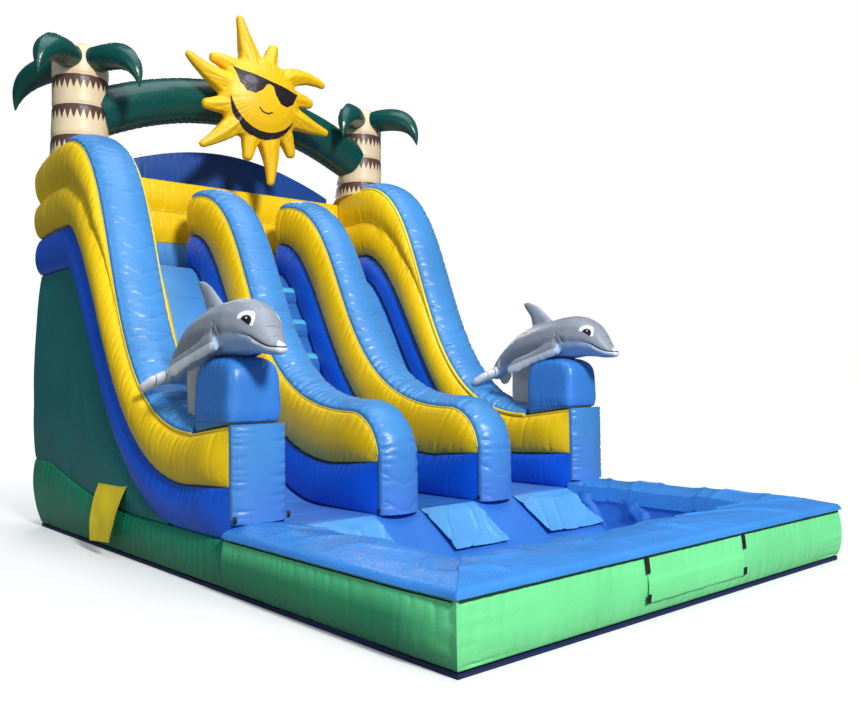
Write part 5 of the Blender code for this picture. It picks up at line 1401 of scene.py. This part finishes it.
def makePost(side):
    obj = copyNode(sided("dolphinPost", side), 0.011, 140)
    x, y, z = points(obj).T
    angle = np.arctan2(y + 0.64, x - side * 2.05)
    fromTop = 1.875 - z
    fromFoot = np.maximum(z - 1.335, 0)
    folds = puckers(angle * 0.30 + 4, np.maximum(fromTop, 0), 0.008, 0.085, 0.14, 241 + side)
    folds += puckers(angle * 0.30 + 7, fromFoot, 0.008, 0.080, 0.10, 244 + side)
    pushOut(obj, (folds + 0.014 * np.minimum(1, fromFoot / 0.1)) * (fromFoot > 0.004))
    setField(obj, "seam", np.abs(z - 1.342))
    setField(obj, "run", angle * 0.30)
    dress(obj, vinylPost)


def makeWeb(side):
    node = nodeName(sided("tailGusset", side))
    obj = copyNode(sided("tailWeb", side), 0.010, 5, node)
    wrinkled(obj, 0.003, 0.09, 251 + side)
    dress(obj, vinylPale, [node])


vinylPale = vinyl("vinylPale", "pale", seams=False, wrinkle=1.6)
vinylPost = vinyl("vinylPostBlue", (56, 128, 210))
for side in (-1, 1):
    makeDolphin(side)
    makePost(side)
    makeWeb(side)
print("dolphins done")


# palms, arch and sun

palmLook = {
    "x": 2.02, "y": 3.14, "base": 4.2302, "radius": 0.31, "height": 1.40, "lean": 0.03, "flare": 0.18,
    "bands": (5.20, 4.86, 4.51), "band": 0.062, "teeth": 14, "tooth": 0.105,
}


# how far a turn round a tube is from an angle, in radians
def awayFrom(angle, turn):
    return np.abs(np.mod(turn - angle + math.pi, 2 * math.pi) - math.pi)


# faces of a tube of rings, with a last vertex for each end
def tubeFaces(rows, sides):
    index = np.arange(rows * sides).reshape(rows, sides)
    follow = np.roll(index, -1, axis=1)
    faces = np.stack([index[:-1], follow[:-1], follow[1:], index[1:]], axis=-1).reshape(-1, 4).tolist()
    faces += [[int(after), int(here), rows * sides] for here, after in zip(index[0], follow[0])]
    faces += [[int(here), int(after), rows * sides + 1] for here, after in zip(index[-1], follow[-1])]
    return faces


# closed tube with a round or shaped section along a path of points
def tubeSkin(name, path, radii, sides, shape=None):
    path = np.array(path, float)
    tangent = np.gradient(path, axis=0)
    tangent /= np.linalg.norm(tangent, axis=1)[:, None]
    up = np.array([0.0, 0.0, 1.0]) if abs(tangent[0, 2]) < 0.9 else np.array([0.0, 1.0, 0.0])
    across = np.cross(tangent, up)
    across /= np.linalg.norm(across, axis=1)[:, None]
    over = np.cross(across, tangent)
    run = runAlong(path)
    angle = np.linspace(0, 2 * math.pi, sides, endpoint=False)
    s, a = np.meshgrid(run, angle, indexing="ij")
    rise = np.ones_like(a) if shape is None else shape(s, a)
    r = np.asarray(radii)[:, None] * rise
    sideways = across[:, None, :] * (np.cos(a) * r)[..., None]
    ring = path[:, None, :] + sideways + over[:, None, :] * (np.sin(a) * r)[..., None]
    verts = np.concatenate([ring.reshape(-1, 3), path[:1], path[-1:]])
    seam = awayFrom(math.pi / 2, a) * np.asarray(radii)[:, None]
    fields = {"seam": np.append(seam.ravel(), [0.1, 0.1]), "run": np.append(s.ravel(), [0.0, run[-1]])}
    return meshFrom(name, verts.tolist(), tubeFaces(len(path), sides), fields)


# dark bands with a toothed lower edge, round the trunk
def paintBands(tree, place, shown):
    height = addNode(tree, "SeparateXYZ", {0: place}).outputs["Z"]
    saw = sums(tree, "PINGPONG", sums(tree, "MULTIPLY", field(tree, "turn"), palmLook["teeth"] * 2.0), 1.0)
    uneven = sums(tree, "ADD", noise(tree, place, 9.0), 0.55)
    tooth = sums(tree, "MULTIPLY", saw, sums(tree, "MULTIPLY", uneven, palmLook["tooth"]))
    mask = 0.0
    for top in palmLook["bands"]:
        below = sums(tree, "MULTIPLY", sums(tree, "SUBTRACT", top, height), 500.0, clamp=True)
        bottom = sums(tree, "SUBTRACT", top - palmLook["band"], tooth)
        above = sums(tree, "MULTIPLY", sums(tree, "SUBTRACT", height, bottom), 500.0, clamp=True)
        mask = sums(tree, "MAXIMUM", mask, sums(tree, "MULTIPLY", below, above))
    return blendColours(tree, mask, shown, toLinear(colours["brown"]))


trunkMaterial = vinyl("vinylTrunk", "beige", seams=False, paint=paintBands, rough=0.40)
palmMaterial = vinyl("vinylPalmGreen", "palmGreen", rough=0.24, wrinkle=0.6)


def makeTrunk(side):
    domed = 0.97 + 0.03 * np.sin(np.linspace(0, math.pi / 2, 14))[1:]
    heights = np.concatenate([np.linspace(-0.045, 0.97, 150), domed])
    sides = 96
    angle = np.linspace(0, 2 * math.pi, sides, endpoint=False)
    h, a = np.meshgrid(heights, angle, indexing="ij")
    z = palmLook["base"] + h * palmLook["height"]
    radius = np.full_like(h, palmLook["radius"] * 1.01)
    for top in palmLook["bands"]:
        radius -= 0.008 * np.exp(-((z - top) / 0.022) ** 2)
        radius += puckers(a * 0.31 + top, np.abs(z - top), 0.005, 0.07, 0.10, 261 + int(top * 10))
    radius += 0.012 * easeStep((0.08 - h) / 0.08)
    dome = np.clip((h - 0.80) / 0.20, 0, 1)
    radius *= np.sqrt(np.clip(1 - dome ** 2.6, 0.0004, 1))
    radius += 0.003 * smoothField(a * 2, z / 0.15, 265) * (dome < 0.9)
    x = side * palmLook["x"] + np.cos(a) * radius
    flare = 1 + palmLook["flare"] / palmLook["radius"] * easeStep(1 - h / 0.42) * (np.sin(a) > 0)
    y = palmLook["y"] + np.sin(a) * radius * flare - palmLook["lean"] * h
    hump = np.interp(-y, -railLine[:rearCount + 60, 0], railLine[:rearCount + 60, 1]) - 0.02
    z = np.where(h < 0.2, np.maximum(z, hump), z)
    rings = np.stack([x, y, z], axis=-1)
    ends = [rings[0].mean(axis=0), rings[-1].mean(axis=0) + (0, 0, 0.0005)]
    verts = np.concatenate([rings.reshape(-1, 3), ends])
    turn = np.append((a / (2 * math.pi)).ravel(), [0, 0])
    turn = np.abs(np.mod(turn + 0.25, 1.0) - 0.5) * 2
    obj = meshFrom(sided("palmTrunk", side), verts.tolist(), tubeFaces(len(heights), sides), {"turn": turn})
    dress(obj, trunkMaterial)


frondLook = {
    "down": 0.24, "start": 0.10, "reach": 0.87, "fall": 0.42, "rise": 0.05, "radius": 0.155, "seed": 299,
    "taper": [0.95, 1.0, 1.01, 0.99, 0.93, 0.83, 0.68, 0.49, 0.27, 0.05],
}


def makeFrond(side, number, heading):
    seed = frondLook["seed"] + number + 5 * side
    angle = math.radians(heading)
    out = np.array([math.cos(angle), math.sin(angle), 0.0])
    crown = palmLook["base"] + palmLook["height"] - frondLook["down"]
    top = np.array([side * palmLook["x"], palmLook["y"] - palmLook["lean"] * 0.83, crown])
    start = top + out * frondLook["start"]
    reach, fall = frondLook["reach"], frondLook["fall"]
    end = start + out * reach - (0, 0, fall)
    b = start + out * reach * 0.70 + (0, 0, frondLook["rise"])
    c = end + (0, 0, fall * 0.75) - out * 0.04
    path = cubic(start, b, c, end, 90)
    radii = frondLook["radius"] * np.interp(np.linspace(0, 1, 90), np.linspace(0, 1, 10), frondLook["taper"])

    def shape(s, a):
        fromTop = awayFrom(math.pi / 2, a)
        ridge = 1 + 0.10 * np.exp(-(fromTop / 0.22) ** 2)
        under = 1 - 0.10 * np.clip(-np.sin(a), 0, 1) ** 2
        return ridge * under + 0.05 * puckers(s, fromTop * 0.15, 1.0, 0.06, 0.09, seed)
    obj = tubeSkin(f"{sided('frond', side)}{number}", path, radii, 44, shape)
    dress(obj, palmMaterial, [f"{nodeName(sided('frond', side))}_{number}"])


archLook = {"half": 1.86, "top": 5.30, "rise": 0.54, "radius": 0.28}


def makeArch():
    x = np.linspace(-archLook["half"], archLook["half"], 260)
    lean = palmLook["lean"] * (archLook["top"] - palmLook["base"]) / palmLook["height"]
    z = archLook["top"] - archLook["rise"] * (x / palmLook["x"]) ** 2
    path = np.stack([x, np.full_like(x, palmLook["y"] - lean), z], axis=-1)
    radius = archLook["radius"]

    def shape(s, a):
        low, high = awayFrom(-math.pi / 2, a) * radius, awayFrom(math.pi / 2, a) * radius
        folds = puckers(s, low, 0.030, 0.085, 0.13, 271) + puckers(s + 3, high, 0.018, 0.10, 0.12, 272)
        flat = 1 - 0.02 * np.exp(-(low / 0.05) ** 2)
        return flat + folds + 0.008 * smoothField(s / 0.4, a * 1.2, 273)
    dress(tubeSkin("archTube", path, np.full(len(path), radius), 72, shape), palmMaterial)


sunLook = {"centre": (0.06, 5.25), "tilt": -11.0, "rim": 0.58, "face": 1.30, "smile": 0.475, "smileHalf": 0.046}
sunGlasses = [
    (-0.37, 0.185), (-0.30, 0.165), (0.0, 0.150), (0.30, 0.165), (0.37, 0.185), (0.34, 0.12), (0.30, 0.03),
    (0.225, -0.035), (0.14, -0.035), (0.07, 0.03), (0.035, 0.10), (0.0, 0.112), (-0.035, 0.10), (-0.07, 0.03),
    (-0.14, -0.035), (-0.225, -0.035), (-0.30, 0.03), (-0.34, 0.12),
]
sunDimple = [(-0.09, -0.175), (-0.04, -0.212), (0.04, -0.212), (0.09, -0.175)]
sunMarks = (("ink", 260.0, (34, 22, 30)), ("shine", 60.0, (96, 84, 104)))
sunMaterial = vinyl("vinylSun", (244, 192, 0), rough=0.40, seams=False,
                    paint=painter(sunMarks))


def makeSun():
    obj = copyNode("sunCushion", 0.0112, 25, "sun")
    x, z = points(obj).T[[0, 2]]
    cx, cz = sunLook["centre"]
    tilt = math.radians(sunLook["tilt"])
    px = (x - cx) * math.cos(tilt) + (z - cz) * math.sin(tilt)
    pz = -(x - cx) * math.sin(tilt) + (z - cz) * math.cos(tilt)
    radius = np.hypot(px, pz)
    frontSide = normals(obj)[:, 1] < 0.1
    run = np.arctan2(pz, px) * 0.55 + 3
    pushOut(obj, puckers(run, np.abs(radius - sunLook["rim"]), 0.010, 0.070, 0.20, 281))
    glasses = insideOf(sunGlasses, px / sunLook["face"], (pz - 0.02) / sunLook["face"])
    spread = np.abs(np.arctan2(px, -pz))
    smile = sunLook["smileHalf"] * np.clip(1 - (spread / 1.34) ** 2.4, 0, 1) - np.abs(radius - sunLook["smile"])
    smile = np.where(spread < 1.34, smile, -0.02)
    dimple = 0.011 - lineDistance(sunDimple, px, pz)
    ink = np.maximum(np.maximum(glasses, smile), dimple)
    setField(obj, "ink", np.where(frontSide, ink, -0.05))
    shine = np.minimum(glasses - 0.014, 0.06 - np.hypot((px + 0.26) / 1.6, pz - 0.14))
    setField(obj, "shine", np.where(frontSide, shine, -0.05))
    dress(obj, sunMaterial, ["sun"])


def makeSleeve():
    obj = copyNode("inflationSleeve", 0.008, 3)
    x, y, z = points(obj).T
    angle = np.arctan2(z - 0.30, x + 1.20)
    folds = 0.010 * np.sin(angle * 9 + 2 * smoothNoise(angle * 2 + 9, 291))
    pushOut(obj, folds * np.clip((y - 3.7) / 0.3, 0, 1))
    dress(obj, sleeveBlue)


sleeveBlue = vinyl("sleeveBlue", "deepBlue", seams=False, wrinkle=2.0)

for side, headings in ((-1, (225, 290, 120)), (1, (220, 289, 49))):
    makeTrunk(side)
    for number, heading in enumerate(headings):
        makeFrond(side, number + 1, heading)
makeArch()
makeSun()
makeSleeve()
print("palms, arch and sun done")


# piping along the seams, straps, hems, ties and the bare tab

pipingYellow = vinyl("pipingYellow", (236, 214, 60), seams=False, rough=0.4, wrinkle=0.4)
webbingBlack = vinyl("webbingBlack", "black", rough=0.7, seams=False, wear=0.3, wrinkle=0.3)
tabYellow = vinyl("tabYellow", "tabYellow", rough=0.45, wrinkle=1.4)


pipingLook = (
    ("railPipingOuter", capLine, 2.3010, 0.0065), ("railPipingInner", capLine, 1.7960, 0.0210),
    ("dividerPipingOuter", dividerLine[:-4], 0.8365, 0.0065),
    ("dividerPipingInner", dividerLine[:-4], 0.3985, 0.0080),
)


def makePiping(side):
    for name, line, x, radius in pipingLook:
        thin = np.concatenate([line[:-1:4], line[-1:]]) + (0, 0.004)
        path = np.insert(thin, 0, side * x, axis=1)
        obj = tubeSkin(sided(name, side), path, np.full(len(path), radius), 8)
        dress(obj, pipingYellow, nodes=[])


# thin strip of cloth that lies on a pool wall between two heights
def makeStrip(name, kind, ends, heights, off):
    low, high = heights
    near, far = ends

    def place(u, v):
        z = low + (high - low) * v
        s = near + (far - near) * u
        out = wallBulge(z, 0.0 if kind == 0 else s + 3.6) + off
        x, y = (s, -3.6 - out) if kind == 0 else (kind * (2.3 + out), s)
        return x, y, z, np.minimum(v, 1 - v) * 0.05, s
    obj = gridSkin(name, (max(2, int(abs(far - near) / 0.02)), 8), place)
    thicken(obj, 0.0025, 0.0)
    dress(obj, webbingBlack, nodes=[])
    nodeName("poolWall" + poolSides[kind])


def makeTrim():
    for number, x in enumerate((-0.575, 0.675)):
        ends = (x - 0.022, x + 0.022)
        makeStrip(f"upperStrap{number + 1}", 0, ends, (0.325, 0.435), 0.010)
        makeStrip(f"lowerStrap{number + 1}", 0, ends, (0.125, 0.185), 0.016)
    makeStrip("hemLeft", -1, (-3.60, -0.99), (0.428, 0.438), 0.008)
    makeStrip("hemRight", 1, (-3.60, -0.99), (0.428, 0.438), 0.008)
    makeStrip("hemFront", 0, (-2.31, 2.31), (0.430, 0.438), 0.006)


# the bare yellow tab that hangs down the left side, and dark ties at front corners of dividers and left rail
def makeTab():
    def place(u, v):
        y = 1.375 + (0.385 - 0.12 * v) * (1 - 2 * u) + 0.02 * smoothNoise(v * 3, 311)
        z = 0.70 - 0.57 * v + 0.045 * (u - 0.5)
        out = 0.080 + 0.085 * v + 0.010 * np.sin(math.pi * v) + 0.007 * smoothField(u * 3, v * 3, 312)
        out = out - 0.06 * (1 - v) ** 3
        edge = np.minimum(np.minimum(u, 1 - u) * 0.9, np.minimum(v, 1 - v) * 0.6)
        return -2.3 - out, y, z, edge, y + 5
    obj = gridSkin("sideTab", (60, 44), place)
    thicken(obj, 0.002, 0.0)
    dress(obj, tabYellow, nodes=[])
    ties = ((-0.836, -0.978, 0.50), (0.400, -0.978, 0.50), (-2.29, -1.023, 0.585), (-1.805, -1.023, 0.585))
    for number, (x, y, z) in enumerate(ties):
        def tie(u, v):
            bend = 0.014 * np.sin(math.pi * v)
            return x + (u - 0.5) * 0.030, y - bend, z + (v - 0.5) * 0.055, 0.05 + 0 * u, v
        obj = gridSkin(f"cornerTie{number + 1}", (4, 8), tie)
        thicken(obj, 0.004, 0.0)
        dress(obj, webbingBlack, nodes=[])


for side in (-1, 1):
    makePiping(side)
makeTrim()
makeTab()
print("trim done")


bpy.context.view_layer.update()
meshes = [obj.data for obj in bpy.data.objects if obj.type == "MESH" and not obj.hide_render]
print("triangles", sum(len(face.vertices) - 2 for mesh in meshes for face in mesh.polygons))
